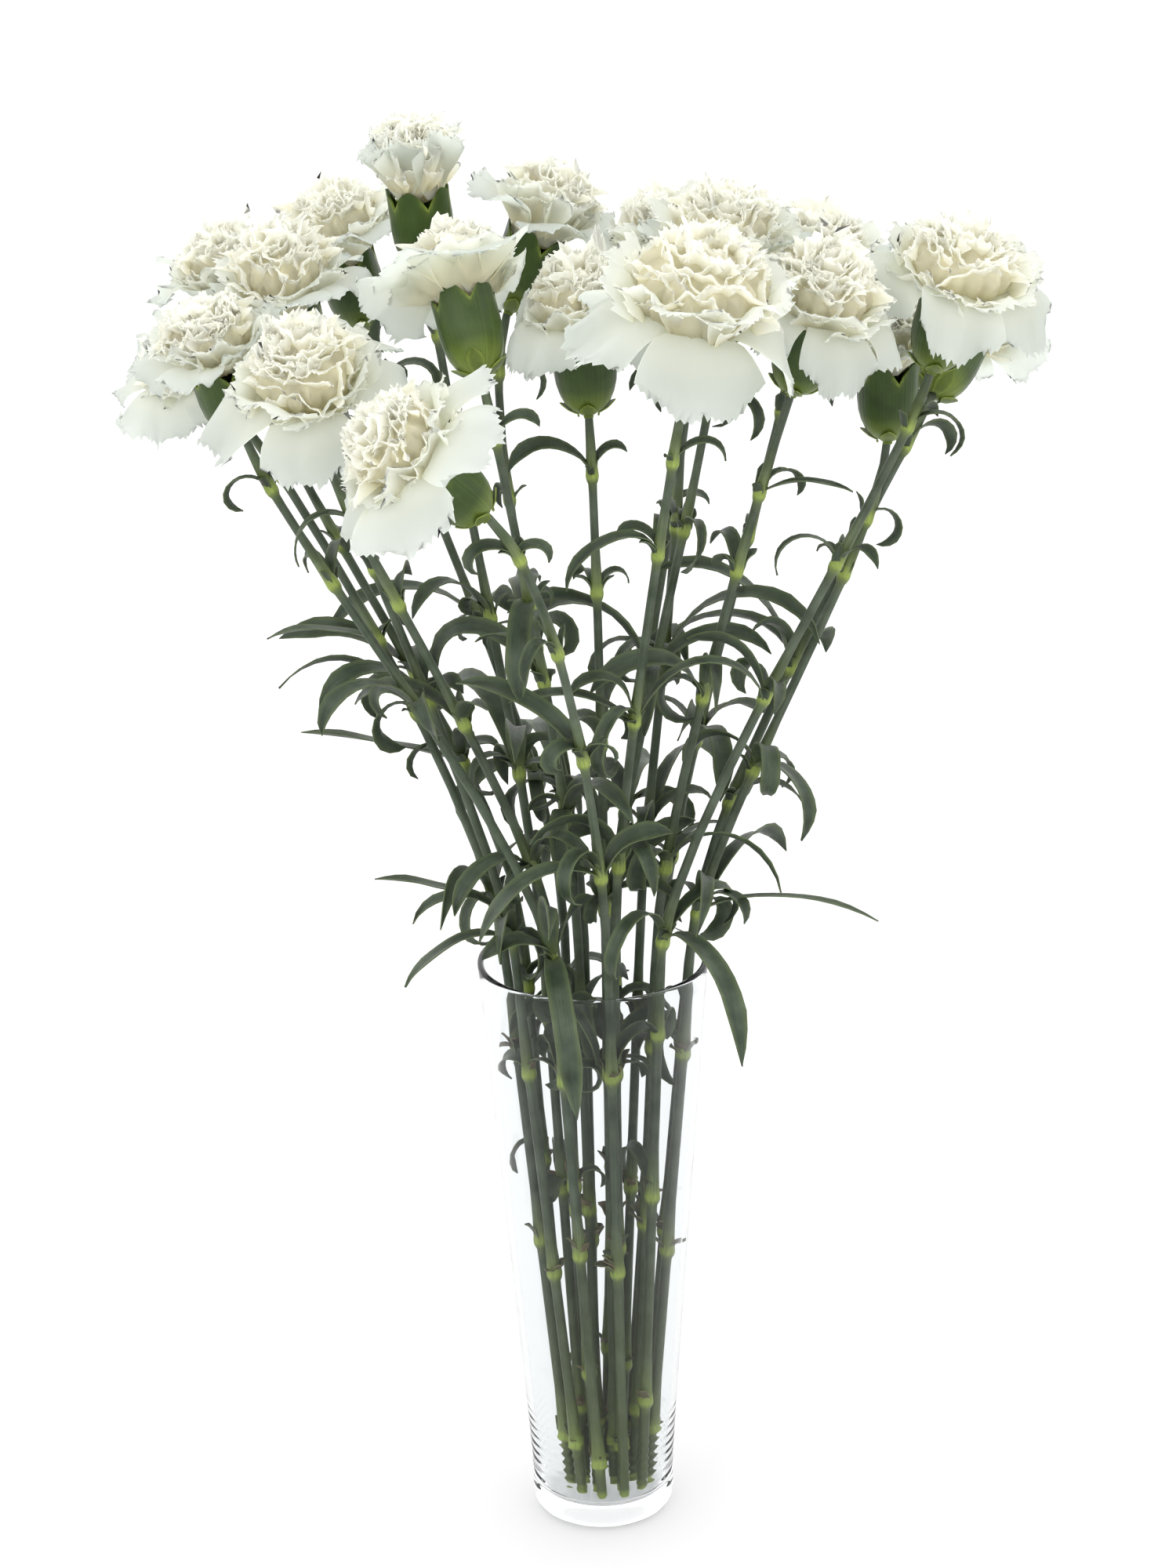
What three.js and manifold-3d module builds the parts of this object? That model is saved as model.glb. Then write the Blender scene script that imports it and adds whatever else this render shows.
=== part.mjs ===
// A dry glass vase holding twenty cut white carnations.
// Millimetres, +Z up. The origin is the middle of the vase's underside, and -Y is the front.
import * as THREE from "three";
import { mergeVertices } from "three/addons/utils/BufferGeometryUtils.js";
import Module from "manifold-3d";

const wasm = await Module();
wasm.setup();

// ---------------------------------------------------------------- driving dimensions
const VASE = {
  height: 280,
  footRadius: 33.4,
  rimRadius: 53.2,
  wall: 2.9,
  floor: 10,
  standRadius: 27,
  waistHeight: 26,
  sides: 28,
};
const GAP = 0.3;

const STEM = {
  lowRadius: 2.5,
  topRadius: 1.9,
  jointRadius: 3.4,
  jointLength: 9,
  sides: 5,
  neck: 36,
  spacing: 48,
  spacingGrowth: 9,
  straightTo: 286,
  longestChord: 62,
};

const LEAF = {
  hookShare: 0.58,
  longShare: 0.9,
  lowest: 205,
  aboveJoint: 2.5,
  ownReach: 22,
  attempts: 14,
  turnStep: 0.23,
  room: 0.9,
  trim: 0.045,
};
const HOOK_JOINTS = 2;

const CALYX = { length: 33, lobe: 7, radius: 14, cup: 11, sides: 10 };
const BLOOM = { centre: 50, petals: 5, petalThickness: 0.9, hub: 10 };
const SQUEEZE = 10;

// Three rings of stems: how many, and their distance from the bunch's middle at the rim and at the
// foot. The bunch stands a little to the right of the vase's axis.
const RINGS = [
  { count: 11, rim: 43.2, foot: 18.6 },
  { count: 6, rim: 26.5, foot: 11.4 },
  { count: 3, rim: 9.6, foot: 4.5 },
];
const TWIST = THREE.MathUtils.degToRad(16);
const ASIDE = 3;

// Each head: the foot of its calyx, the way it faces (degrees round from +X, degrees from
// upright), the bloom's diameter, how far open it is (0 is a bud, 1.2 hangs its guard petals), the
// height of its top above the calyx foot, the width of its heart, and the way its first guard petal
// points (degrees round its own axis).
const HEADS = [
  { at: [-67, 33, 597], turn: 190, lean: 5, size: 50, open: 0.05, tall: 70, heart: 46, first: 20 },
  { at: [-32, 66, 570], turn: 10, lean: 22, size: 72, open: 0.6, tall: 70, heart: 48, first: -5 },
  { at: [-43, -48, 571], turn: 109, lean: 38, size: 84, open: 0.85, tall: 68, heart: 56, first: -54 },
  { at: [-98, 92, 556], turn: 195, lean: 14, size: 76, open: 0.65, tall: 70, heart: 54, first: 10 },
  { at: [-148, 55, 549], turn: 200, lean: 12, size: 72, open: 0.8, tall: 68, heart: 46, first: 190 },
  { at: [-123, 22, 552], turn: 235, lean: 14, size: 78, open: 0.75, tall: 74, heart: 56, first: -15 },
  { at: [-151, 32, 527], turn: 219, lean: 38, size: 72, open: 0.95, tall: 66, heart: 48, first: 225 },
  { at: [-148, -29, 542], turn: 225, lean: 20, size: 66, open: 0.7, tall: 66, heart: 50, first: 180 },
  { at: [-110, -57, 537], turn: 255, lean: 30, size: 86, open: 1.15, tall: 74, heart: 60, first: -88 },
  { at: [-42, -120, 530], turn: 205, lean: 47, size: 88, open: 1, tall: 72, heart: 56, first: -110 },
  { at: [3, -18, 545], turn: 240, lean: 6, size: 78, open: 1.05, tall: 72, heart: 54, first: -59 },
  { at: [43, -76, 564], turn: 295, lean: 20, size: 96, open: 1.2, tall: 82, heart: 76, first: -86 },
  { at: [45, 50, 559], turn: 220, lean: 8, size: 72, open: 0.6, tall: 70, heart: 52, first: 170 },
  { at: [60, -2, 570], turn: 300, lean: 8, size: 78, open: 0.7, tall: 74, heart: 60, first: 90 },
  { at: [98, 84, 544], turn: 320, lean: 12, size: 78, open: 0.7, tall: 70, heart: 60, first: 40 },
  { at: [92, -28, 556], turn: 310, lean: 24, size: 82, open: 1.1, tall: 72, heart: 56, first: -72 },
  { at: [155, 3, 556], turn: 320, lean: 18, size: 84, open: 1.15, tall: 70, heart: 66, first: -92 },
  { at: [138, 46, 512], turn: 275, lean: 6, size: 58, open: 0.5, tall: 66, heart: 44, first: 200 },
  { at: [161, 78, 523], turn: 60, lean: 56, size: 70, open: 0.85, tall: 66, heart: 50, first: 10 },
  { at: [52, 118, 542], turn: 270, lean: 6, size: 76, open: 0.7, tall: 72, heart: 58, first: 90 },
];

// Leaves set by hand, each at the joint of a stem nearest its height: the way it points (degrees
// round from +X), its length and half width, the angle it leaves the upright at, and how far it
// then curls over (degrees).
const SET_LEAVES = [
  { stem: 18, height: 305, turn: 340, length: 88, halfWidth: 2.6, start: 52, curl: 52, late: 0.8 },
  { stem: 17, height: 300, turn: 300, length: 96, halfWidth: 4.8, start: 40, curl: 125, late: 0.7 },
  { stem: 8, height: 293, turn: 275, length: 96, halfWidth: 4.8, start: 50, curl: 125, late: 0.6 },
  { stem: 6, height: 297, turn: 195, length: 58, halfWidth: 4.2, start: 58, curl: 85, late: 0.8 },
  { stem: 7, height: 305, turn: 180, length: 56, halfWidth: 3.8, start: 62, curl: 18, late: 1 },
  { stem: 5, height: 363, turn: 190, length: 76, halfWidth: 4.4, start: 58, curl: 12, late: 1 },
  { stem: 7, height: 425, turn: 175, length: 52, halfWidth: 3.6, start: 60, curl: 40, late: 1.4 },
  { stem: 10, height: 339, turn: 205, length: 74, halfWidth: 4.8, start: 45, curl: 115, late: 0.9 },
  { stem: 18, height: 474, turn: 355, length: 52, halfWidth: 2.8, start: 20, curl: 165, late: 1 },
  { stem: 17, height: 467, turn: 185, length: 46, halfWidth: 2.6, start: 20, curl: 190, late: 1 },
  { stem: 18, height: 450, turn: 10, length: 46, halfWidth: 2.6, start: 15, curl: 190, late: 1.1 },
  { stem: 18, height: 367, turn: 320, length: 56, halfWidth: 4.6, start: 30, curl: 160, late: 0.7 },
  { stem: 3, height: 463, turn: 260, length: 62, halfWidth: 4.9, start: 30, curl: 152, late: 0.6 },
  { stem: 12, height: 490, turn: 200, length: 58, halfWidth: 3.8, start: 25, curl: 150, late: 0.8 },
  { stem: 12, height: 408, turn: 185, length: 60, halfWidth: 3.8, start: 55, curl: 60, late: 1.2 },
  { stem: 15, height: 367, turn: 300, length: 66, halfWidth: 4.6, start: 25, curl: 165, late: 0.8 },
  { stem: 16, height: 505, turn: 340, length: 44, halfWidth: 2.6, start: 55, curl: 50, late: 1.2 },
  { stem: 9, height: 505, turn: 180, length: 44, halfWidth: 2.6, start: 40, curl: 150, late: 0.8 },
];

// ---------------------------------------------------------------- small tools
const Y = new THREE.Vector3(0, 1, 0);
const Z = new THREE.Vector3(0, 0, 1);
const rad = THREE.MathUtils.degToRad;
const lerp = THREE.MathUtils.lerp;

/** A repeatable run of draws between 0 and 1. */
class Dice {
  constructor(seed) {
    this.state = seed >>> 0;
  }
  next() {
    this.state = (Math.imul(this.state, 1664525) + 1013904223) >>> 0;
    return this.state / 4294967296;
  }
  between(low, high) {
    return low + (high - low) * this.next();
  }
}

/** Turns a closed BufferGeometry into a solid that can be cut and joined. */
function solid(geometry) {
  const bare = geometry.clone();
  bare.deleteAttribute("normal");
  bare.deleteAttribute("uv");
  const merged = mergeVertices(bare, 1e-4);
  return new wasm.Manifold(new wasm.Mesh({
    numProp: 3,
    vertProperties: new Float32Array(merged.attributes.position.array),
    triVerts: new Uint32Array(merged.index.array),
  }));
}

/** Joins solids into one and keeps its largest body. */
function fuse(solids) {
  const bodies = wasm.Manifold.union(solids).decompose();
  bodies.sort((a, b) => b.volume() - a.volume());
  return bodies[0];
}

/** Gives a solid back as a BufferGeometry. */
function geometryOf(body) {
  const mesh = body.getMesh();
  const geometry = new THREE.BufferGeometry();
  geometry.setAttribute("position", new THREE.BufferAttribute(mesh.vertProperties, 3));
  geometry.setIndex(new THREE.BufferAttribute(mesh.triVerts, 1));
  return geometry;
}

function indexedGeometry(points, triangles) {
  const geometry = new THREE.BufferGeometry();
  const numbers = points.flatMap((point) => point.toArray());
  geometry.setAttribute("position", new THREE.Float32BufferAttribute(numbers, 3));
  geometry.setIndex(triangles.flat());
  return geometry;
}

/** Collects the points and triangles of one closed surface. */
class Surface {
  constructor() {
    this.points = [];
    this.triangles = [];
  }
  add(points) {
    const first = this.points.length;
    this.points.push(...points);
    return points.map((_, k) => first + k);
  }
  quad(a, b, c, d) {
    this.triangles.push([a, b, c], [a, c, d]);
  }
  /** Fills between two closed rings of equal count, or from a ring to its single middle point. */
  wall(low, high) {
    low.forEach((here, k) => {
      const next = (k + 1) % low.length;
      this.quad(here, low[next], high[next], high[k]);
    });
  }
  fan(ring, tip, downward) {
    ring.forEach((here, k) => {
      const next = ring[(k + 1) % ring.length];
      this.triangles.push(downward ? [next, here, tip] : [here, next, tip]);
    });
  }
  /** Fills from a ring to one of twice its count, whose even points stand over the ring's. */
  widen(low, high) {
    low.forEach((here, k) => {
      const next = low[(k + 1) % low.length];
      const [left, middle, right] = [high[2 * k], high[2 * k + 1], high[(2 * k + 2) % high.length]];
      this.triangles.push([here, next, middle], [here, middle, left], [next, right, middle]);
    });
  }
  /** Fills rows of 2, 3, 5 ... points: each stretch of a row meets two of the next. */
  fanOut(rows, upward) {
    for (let r = 0; r < rows.length - 1; r += 1) {
      for (let k = 0; k < rows[r].length - 1; k += 1) {
        const [a, b] = [rows[r][k], rows[r][k + 1]];
        const [c, d, e] = [rows[r + 1][2 * k], rows[r + 1][2 * k + 1], rows[r + 1][2 * k + 2]];
        const faces = [[a, d, b], [a, c, d], [b, d, e]];
        this.triangles.push(...(upward ? faces : faces.map(([p, q, s]) => [p, s, q])));
      }
    }
  }
  geometry() {
    return indexedGeometry(this.points, this.triangles);
  }
}

/** A closed body through rings of equal count, closed by a point at each end. */
function loft(start, rings, end) {
  const surface = new Surface();
  const sets = rings.map((ring) => surface.add(ring));
  surface.fan(sets[0], surface.add([start])[0], true);
  for (let k = 1; k < sets.length; k += 1) {
    surface.wall(sets[k - 1], sets[k]);
  }
  surface.fan(sets.at(-1), surface.add([end])[0], false);
  return surface.geometry();
}

// ---------------------------------------------------------------- vase
const wallSlope = (VASE.rimRadius - VASE.footRadius) / (VASE.height - VASE.waistHeight);
const outerRadius = (z) => VASE.footRadius + wallSlope * Math.max(z - VASE.waistHeight, 0);
const innerRadius = (z) => outerRadius(z) - VASE.wall;

function lathe(profile) {
  const points = profile.map(([r, z]) => new THREE.Vector2(r, z));
  return new THREE.LatheGeometry(points, VASE.sides).rotateX(Math.PI / 2);
}

function vaseGeometry() {
  const lip = 0.9;
  return lathe([
    [0, 0],
    [VASE.standRadius, 0],
    [VASE.footRadius - 2, 4.5],
    [VASE.footRadius, VASE.waistHeight / 2],
    [VASE.footRadius, VASE.waistHeight],
    [outerRadius(VASE.height - lip), VASE.height - lip],
    [VASE.rimRadius - lip, VASE.height],
    [innerRadius(VASE.height) + lip, VASE.height],
    [innerRadius(VASE.height - lip), VASE.height - lip],
    [innerRadius(VASE.waistHeight), VASE.waistHeight],
    [innerRadius(0), VASE.floor + 8],
    [innerRadius(0) - 2, VASE.floor + 2.5],
    [innerRadius(0) - 6, VASE.floor],
    [0, VASE.floor],
  ]);
}

// ---------------------------------------------------------------- where the stems run
/** Heads furthest from the axis take the outer ring, and each ring is filled in order round. */
function placeStems() {
  const heads = HEADS.map((head, index) => {
    const base = new THREE.Vector3(...head.at);
    const axis = Z.clone().applyAxisAngle(Y, rad(head.lean)).applyAxisAngle(Z, rad(head.turn));
    const angle = Math.atan2(base.y, base.x);
    return { ...head, index, base, axis, angle, reach: Math.hypot(base.x, base.y) };
  });
  const waiting = [...heads].sort((a, b) => b.reach - a.reach);
  const around = (radius, angle, height) =>
    new THREE.Vector3(ASIDE + radius * Math.cos(angle), radius * Math.sin(angle), height);
  const lift = VASE.floor + 2 * GAP;
  const stems = [];
  for (const ring of RINGS) {
    const members = waiting.splice(0, ring.count).sort((a, b) => a.angle - b.angle);
    const step = (2 * Math.PI) / ring.count;
    const start = members.reduce((sum, head, k) => sum + head.angle - k * step, 0) / ring.count;
    members.forEach((head, k) => {
      const angle = start + k * step;
      const foot = around(ring.foot, angle + TWIST, lift);
      const rim = around(ring.rim, angle, VASE.height);
      const rise = rim.clone().sub(foot).normalize();
      const bend = foot.clone().addScaledVector(rise, (STEM.straightTo - lift) / rise.z);
      stems.push(layPath({ ...head, foot, rise, bend }));
    });
  }
  return stems.sort((a, b) => a.index - b.index);
}

/** Adds the curve of the free part, and the places of the joints, measured down from the calyx. */
function layPath(stem) {
  const reach = stem.bend.distanceTo(stem.base);
  const curve = new THREE.CubicBezierCurve3(
    stem.bend,
    stem.bend.clone().addScaledVector(stem.rise, 0.24 * reach),
    stem.base.clone().addScaledVector(stem.axis, -0.2 * reach),
    stem.base,
  );
  const path = new THREE.CurvePath();
  path.add(new THREE.LineCurve3(stem.foot, stem.bend));
  path.add(curve);
  const length = path.getLength();
  const dice = new Dice(101 + stem.index);
  const joints = [];
  let along = length - STEM.neck * dice.between(0.75, 1.1);
  while (along > 18) {
    const nearRim = Math.abs(path.getPointAt(along / length).z - VASE.height + 6) < 16;
    along -= nearRim ? 30 : 0;
    joints.push(along);
    along -= (STEM.spacing + STEM.spacingGrowth * joints.length) * dice.between(0.88, 1.14);
  }
  for (const leaf of SET_LEAVES.filter((set) => set.stem === stem.index + 1)) {
    const gap = (at) => Math.abs(path.getPointAt(at / length).z - leaf.height);
    const nearest = joints.reduce((best, at, k) => (gap(at) < gap(joints[best]) ? k : best), 0);
    joints[nearest] = riseTo(path, length, leaf.height);
  }
  return { ...stem, path, length, joints };
}

/** The distance along a path at which it first reaches a height. */
function riseTo(path, length, height) {
  let [low, high] = [0, length];
  for (let k = 0; k < 30; k += 1) {
    const middle = (low + high) / 2;
    [low, high] = path.getPointAt(middle / length).z < height ? [middle, high] : [low, middle];
  }
  return low;
}

/** A point, a direction and two cross directions at a distance along a stem. */
function frameAt(stem, along) {
  const share = THREE.MathUtils.clamp(along / stem.length, 0, 1);
  const point = stem.path.getPointAt(share);
  const ahead = stem.path.getTangentAt(share).normalize();
  const side = new THREE.Vector3().crossVectors(ahead, Y).normalize();
  const front = new THREE.Vector3().crossVectors(ahead, side);
  return { point, ahead, side, front };
}

function ringAt(frame, radius, sides) {
  return Array.from({ length: sides }, (_, k) => {
    const angle = (2 * Math.PI * k) / sides;
    return frame.point.clone()
      .addScaledVector(frame.side, radius * Math.cos(angle))
      .addScaledVector(frame.front, radius * Math.sin(angle));
  });
}

/** The bare stem: a slim rod with a swollen joint every few centimetres, and its green cup. */
function stemGeometry(stem) {
  const half = STEM.jointLength / 2;
  const radius = (along) => lerp(STEM.lowRadius, STEM.topRadius, along / stem.length);
  const rimLevel = stem.foot.distanceTo(stem.bend);
  const stations = [[0, radius(0)], [rimLevel, radius(rimLevel)]];
  stem.joints.forEach((joint, k) => {
    const middle = (joint + Math.max(stem.joints[k + 1] ?? 0, rimLevel)) / 2;
    stations.push([joint - half, radius(joint)]);
    stations.push([joint, (STEM.jointRadius * radius(joint)) / STEM.lowRadius]);
    if (joint - middle > STEM.longestChord / 2) {
      stations.push([middle, radius(middle)]);
    }
  });
  stations.push([stem.length - 1, STEM.topRadius]);
  stations.sort((a, b) => a[0] - b[0]);
  const surface = new Surface();
  const rings = stations.map(([along, r]) => surface.add(ringAt(frameAt(stem, along), r, STEM.sides)));
  surface.fan(rings[0], surface.add([frameAt(stem, 0).point])[0], true);
  for (let k = 1; k < rings.length; k += 1) {
    surface.wall(rings[k - 1], rings[k]);
  }
  const cup = calyxRings(stem).map((ring) => surface.add(ring));
  surface.widen(rings.at(-1), cup[0]);
  surface.wall(cup[0], cup[1]);
  surface.wall(cup[1], cup[2]);
  const well = stem.base.clone().addScaledVector(stem.axis, CALYX.length - CALYX.cup);
  surface.fan(cup[2], surface.add([well])[0], false);
  return surface.geometry();
}

// ---------------------------------------------------------------- heads
/** Moves a shape made on its own +Z axis, calyx foot at zero, to where the head stands. */
function settle(geometry, stem) {
  geometry.applyQuaternion(new THREE.Quaternion().setFromUnitVectors(Z, stem.axis));
  return geometry.translate(stem.base.x, stem.base.y, stem.base.z);
}

function ringOf(count, place) {
  return Array.from({ length: count }, (_, k) => {
    const [radius, height] = place(k);
    const angle = (2 * Math.PI * k) / count;
    return new THREE.Vector3(radius * Math.cos(angle), radius * Math.sin(angle), height);
  });
}

/** The green cup's rings, in its stem's end frame: five blunt lobes stand round its mouth. */
function calyxRings(stem) {
  const { length, lobe, radius, sides } = CALYX;
  const end = frameAt(stem, stem.length);
  const ring = (place) => Array.from({ length: sides }, (_, k) => {
    const [r, height] = place(k);
    const angle = (2 * Math.PI * k) / sides;
    return stem.base.clone()
      .addScaledVector(stem.axis, height)
      .addScaledVector(end.side, r * Math.cos(angle))
      .addScaledVector(end.front, r * Math.sin(angle));
  });
  return [
    ring(() => [0.5 * radius, 0.05 * length]),
    ring(() => [0.95 * radius, 0.42 * length]),
    ring((k) => (k % 2 === 0 ? [1.03 * radius, length + lobe] : [0.97 * radius, length])),
  ];
}

/** How far out, how high and how steep a petal's middle line is at a share of its length. */
function petalReach(shape, along) {
  const steps = 8;
  const slopeAt = (share) => {
    const bent = THREE.MathUtils.smoothstep(share, 0.15, 0.6);
    return rad(lerp(shape.rise, shape.fall, bent));
  };
  let [r, z] = [shape.hub, shape.height];
  for (let k = 0; k < steps; k += 1) {
    const slope = slopeAt((along * (k + 0.5)) / steps);
    r += (Math.cos(slope) * shape.length * along) / steps;
    z += (Math.sin(slope) * shape.length * along) / steps;
  }
  return [r, z, slopeAt(along)];
}

/** The rows of one petal's face: 3 points, then 5, narrow at the claw and toothed outside. */
function petalRows(shape, depth) {
  const teeth = [0.97, 0.92, 1.03, 0.93, 0.98];
  const row = (along, count) => Array.from({ length: count }, (_, k) => {
    const outer = count === 5;
    const [r, z, slope] = petalReach(shape, along * (outer ? teeth[k] : 1));
    const across = (2 * k) / (count - 1) - 1;
    const spread = Math.min(shape.halfWidth * (outer ? 1 : 0.66), 0.56 * r) * across;
    const raised = shape.wave * (k % 2 === 0 ? 1 : -1) * (outer ? 1 : 0.3) - depth;
    const [x, y] = [r - raised * Math.sin(slope), z + raised * Math.cos(slope)];
    return new THREE.Vector3(x, spread, y).applyAxisAngle(Z, shape.turn);
  });
  return [row(0.5, 3), row(1, 5)];
}

/** A whorl of petals round the hub: thin closed blades that spring from two rings of it. */
function addWhorl(surface, low, high, shapes) {
  shapes.forEach((shape, k) => {
    const [left, right] = [2 * k, 2 * k + 1];
    const rows = (depth) => petalRows(shape, depth).map((row) => surface.add(row));
    const upper = [[high[left], high[right]], ...rows(0)];
    const lower = [[low[left], low[right]], ...rows(BLOOM.petalThickness)];
    surface.fanOut(upper, true);
    surface.fanOut(lower, false);
    for (let r = 0; r < upper.length - 1; r += 1) {
      surface.quad(lower[r][0], lower[r + 1][0], upper[r + 1][0], upper[r][0]);
      surface.quad(lower[r].at(-1), upper[r].at(-1), upper[r + 1].at(-1), lower[r + 1].at(-1));
    }
    for (let c = 0; c < 4; c += 1) {
      surface.quad(lower[2][c], lower[2][c + 1], upper[2][c + 1], upper[2][c]);
    }
    const after = (right + 1) % low.length;
    surface.quad(low[right], low[after], high[after], high[right]);
  });
}

/** The planes halfway to the neighbouring blooms, which press this one's petals back. */
function pressPlanes(stem, stems) {
  const centre = middleOf(stem);
  return stems.filter((other) => other !== stem).flatMap((other) => {
    const away = middleOf(other).sub(centre);
    const distance = away.length();
    if (distance > (stem.size + other.size) / 2 + 6) {
      return [];
    }
    const limit = (distance * stem.size) / (stem.size + other.size);
    return [{ normal: away.divideScalar(distance), limit }];
  });
}

function middleOf(stem) {
  return stem.base.clone().addScaledVector(stem.axis, BLOOM.centre);
}

/** Bends what would cross a plane back to its own side, more the further it reaches. */
function press(geometry, stem, planes) {
  const centre = middleOf(stem);
  const position = geometry.attributes.position;
  const point = new THREE.Vector3();
  for (let k = 0; k < position.count; k += 1) {
    point.fromBufferAttribute(position, k);
    for (const { normal, limit } of planes) {
      const over = point.clone().sub(centre).dot(normal) - (limit - SQUEEZE);
      if (over > 0) {
        const room = SQUEEZE - GAP;
        point.addScaledVector(normal, room * (1 - Math.exp(-over / room)) - over);
      }
    }
    position.setXYZ(k, point.x, point.y, point.z);
  }
  return geometry;
}

/** A bloom: guard petals below, a second whorl between them, and a folded heart. */
function bloomGeometry(stem, stems) {
  const dice = new Dice(501 + stem.index);
  const half = stem.size / 2;
  const mouth = CALYX.length + CALYX.lobe + 1.5;
  const start = rad(stem.first);
  const count = 2 * BLOOM.petals;
  const step = (2 * Math.PI) / count;
  const hub = (radius, height, turn) => ringOf(count, () => [radius, height])
    .map((p) => p.applyAxisAngle(Z, turn - step / 2));
  const guardLength = half - 6 + 30 * (stem.open - 0.55) ** 2;
  const secondBase = mouth + 7;
  const secondOut = stem.heart / 2 - BLOOM.hub;
  const secondUp = stem.tall - 10 - secondBase;
  const secondSlope = THREE.MathUtils.radToDeg(Math.atan2(secondUp, secondOut));
  const guards = [];
  const seconds = [];
  for (let k = 0; k < BLOOM.petals; k += 1) {
    const turn = start + 2 * k * step;
    guards.push({
      hub: BLOOM.hub,
      height: mouth,
      length: guardLength * dice.between(0.94, 1.06),
      rise: lerp(80, 45, stem.open),
      fall: 62 - 108 * stem.open + dice.between(-10, 10),
      halfWidth: 0.56 * half,
      turn,
      wave: dice.between(0.8, 2),
    });
    seconds.push({
      hub: BLOOM.hub,
      height: secondBase,
      length: Math.hypot(secondOut, secondUp) * dice.between(0.94, 1.08),
      rise: secondSlope + 18,
      fall: secondSlope - 18 + dice.between(-8, 8),
      halfWidth: 0.6 * (stem.heart / 2),
      turn: turn + step,
      wave: dice.between(1, 2),
    });
  }
  const surface = new Surface();
  const bottom = surface.add([new THREE.Vector3(0, 0, CALYX.length - CALYX.cup + 0.6)])[0];
  const rings = [
    hub(BLOOM.hub + 0.5, mouth - 1.6, start),
    hub(BLOOM.hub, mouth, start),
    hub(BLOOM.hub + 0.4, secondBase - 1.6, start + step),
    hub(BLOOM.hub, secondBase, start + step),
  ].map((ring) => surface.add(ring));
  const folds = surface.add(hub(1, stem.tall - 7, start + step).map((p, k) => {
    const radius = 0.35 * stem.heart * dice.between(0.9, 1.1) * (k % 2 === 0 ? 1 : 0.76);
    return new THREE.Vector3(p.x * radius, p.y * radius, p.z + dice.between(-2, 2));
  }));
  const top = surface.add([new THREE.Vector3(0, 0, stem.tall - 1)])[0];
  surface.fan(rings[0], bottom, true);
  addWhorl(surface, rings[0], rings[1], guards);
  surface.wall(rings[1], [...rings[2].slice(-1), ...rings[2].slice(0, -1)]);
  addWhorl(surface, rings[2], rings[3], seconds);
  surface.wall(rings[3], folds);
  surface.fan(folds, top, false);
  return press(settle(surface.geometry(), stem), stem, pressPlanes(stem, stems));
}

// ---------------------------------------------------------------- leaves
/** A leaf's middle line: it leaves its joint along the stem, bends outward and curls over. */
function leafLine(leaf) {
  const steps = 7;
  const line = [leaf.root.clone()];
  const heading = new THREE.Vector3();
  for (let k = 0; k < steps; k += 1) {
    const share = (k + 0.5) / steps;
    const angle = leaf.start + leaf.curl * Math.pow(share, leaf.late);
    heading.copy(leaf.up).multiplyScalar(Math.cos(angle)).addScaledVector(leaf.out, Math.sin(angle));
    heading.addScaledVector(leaf.across, leaf.swing * share);
    line.push(line.at(-1).clone().addScaledVector(heading, leaf.length / steps));
  }
  return line;
}

/** Which points of its middle line a leaf's blade is built through. */
const stationsOf = (leaf) => (leaf.length > 50 ? [0, 1, 3, 5] : [0, 2, 4]);

/** A narrow keeled blade along the leaf's middle line, widest near its foot. */
function leafGeometry(leaf) {
  const line = leafLine(leaf);
  const stations = stationsOf(leaf);
  const tip = line.at(-1);
  const rings = stations.map((k) => {
    const ahead = line[Math.min(k + 1, line.length - 1)].clone().sub(line[Math.max(k - 1, 0)]).normalize();
    const side = leaf.across.clone().addScaledVector(ahead, -leaf.across.dot(ahead)).normalize();
    const above = new THREE.Vector3().crossVectors(ahead, side);
    const share = k / (line.length - 1);
    const wide = leaf.halfWidth * (0.3 + 2.4 * share) * (1 - share * share);
    const edge = (sign) => line[k].clone().addScaledVector(side, sign * wide).addScaledVector(above, 0.35);
    return [edge(1), edge(-1), line[k].clone().addScaledVector(above, -0.9)];
  });
  return loft(line[0], rings, tip);
}

/** What a leaf must keep clear of: stems, cups and blooms, as balls. */
function obstacleBalls(stems) {
  const balls = [];
  for (const stem of stems) {
    const add = (along, centre, radius) => balls.push({ owner: stem.index, along, centre, radius });
    for (let along = 0; along < stem.length; along += 6) {
      add(along, frameAt(stem, along).point, STEM.jointRadius + 2 * GAP);
    }
    for (const height of [10, 20, 30]) {
      add(stem.length + height, stem.base.clone().addScaledVector(stem.axis, height), CALYX.radius);
    }
    add(stem.length + BLOOM.centre, middleOf(stem), stem.size / 2 + 2);
  }
  return balls;
}

/** True where a leaf keeps clear of the vase's wall and floor. */
function clearOfVase(point, reach) {
  const r = Math.hypot(point.x, point.y);
  if (point.z > VASE.height + reach) {
    return true;
  }
  const outside = r > outerRadius(Math.min(point.z, VASE.height)) + reach;
  const inside = r < innerRadius(point.z) - reach && point.z > VASE.floor + reach;
  return outside || inside;
}

function isClear(leaf, balls) {
  const reach = leaf.halfWidth + LEAF.room;
  const line = leafLine(leaf);
  const corners = [...stationsOf(leaf).map((k) => line[k]), line.at(-1)];
  for (let k = 1; k < corners.length; k += 1) {
    for (const share of [0.15, 0.3, 0.45, 0.6, 0.8, 1]) {
      const point = corners[k - 1].clone().lerp(corners[k], share);
      if (!clearOfVase(point, reach)) {
        return false;
      }
      const blocked = balls.some((ball) => {
        const own = ball.owner === leaf.owner && Math.abs(ball.along - leaf.along) < LEAF.ownReach;
        return !own && ball.centre.distanceTo(point) < ball.radius + reach;
      });
      if (blocked) {
        return false;
      }
    }
  }
  return true;
}

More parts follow.
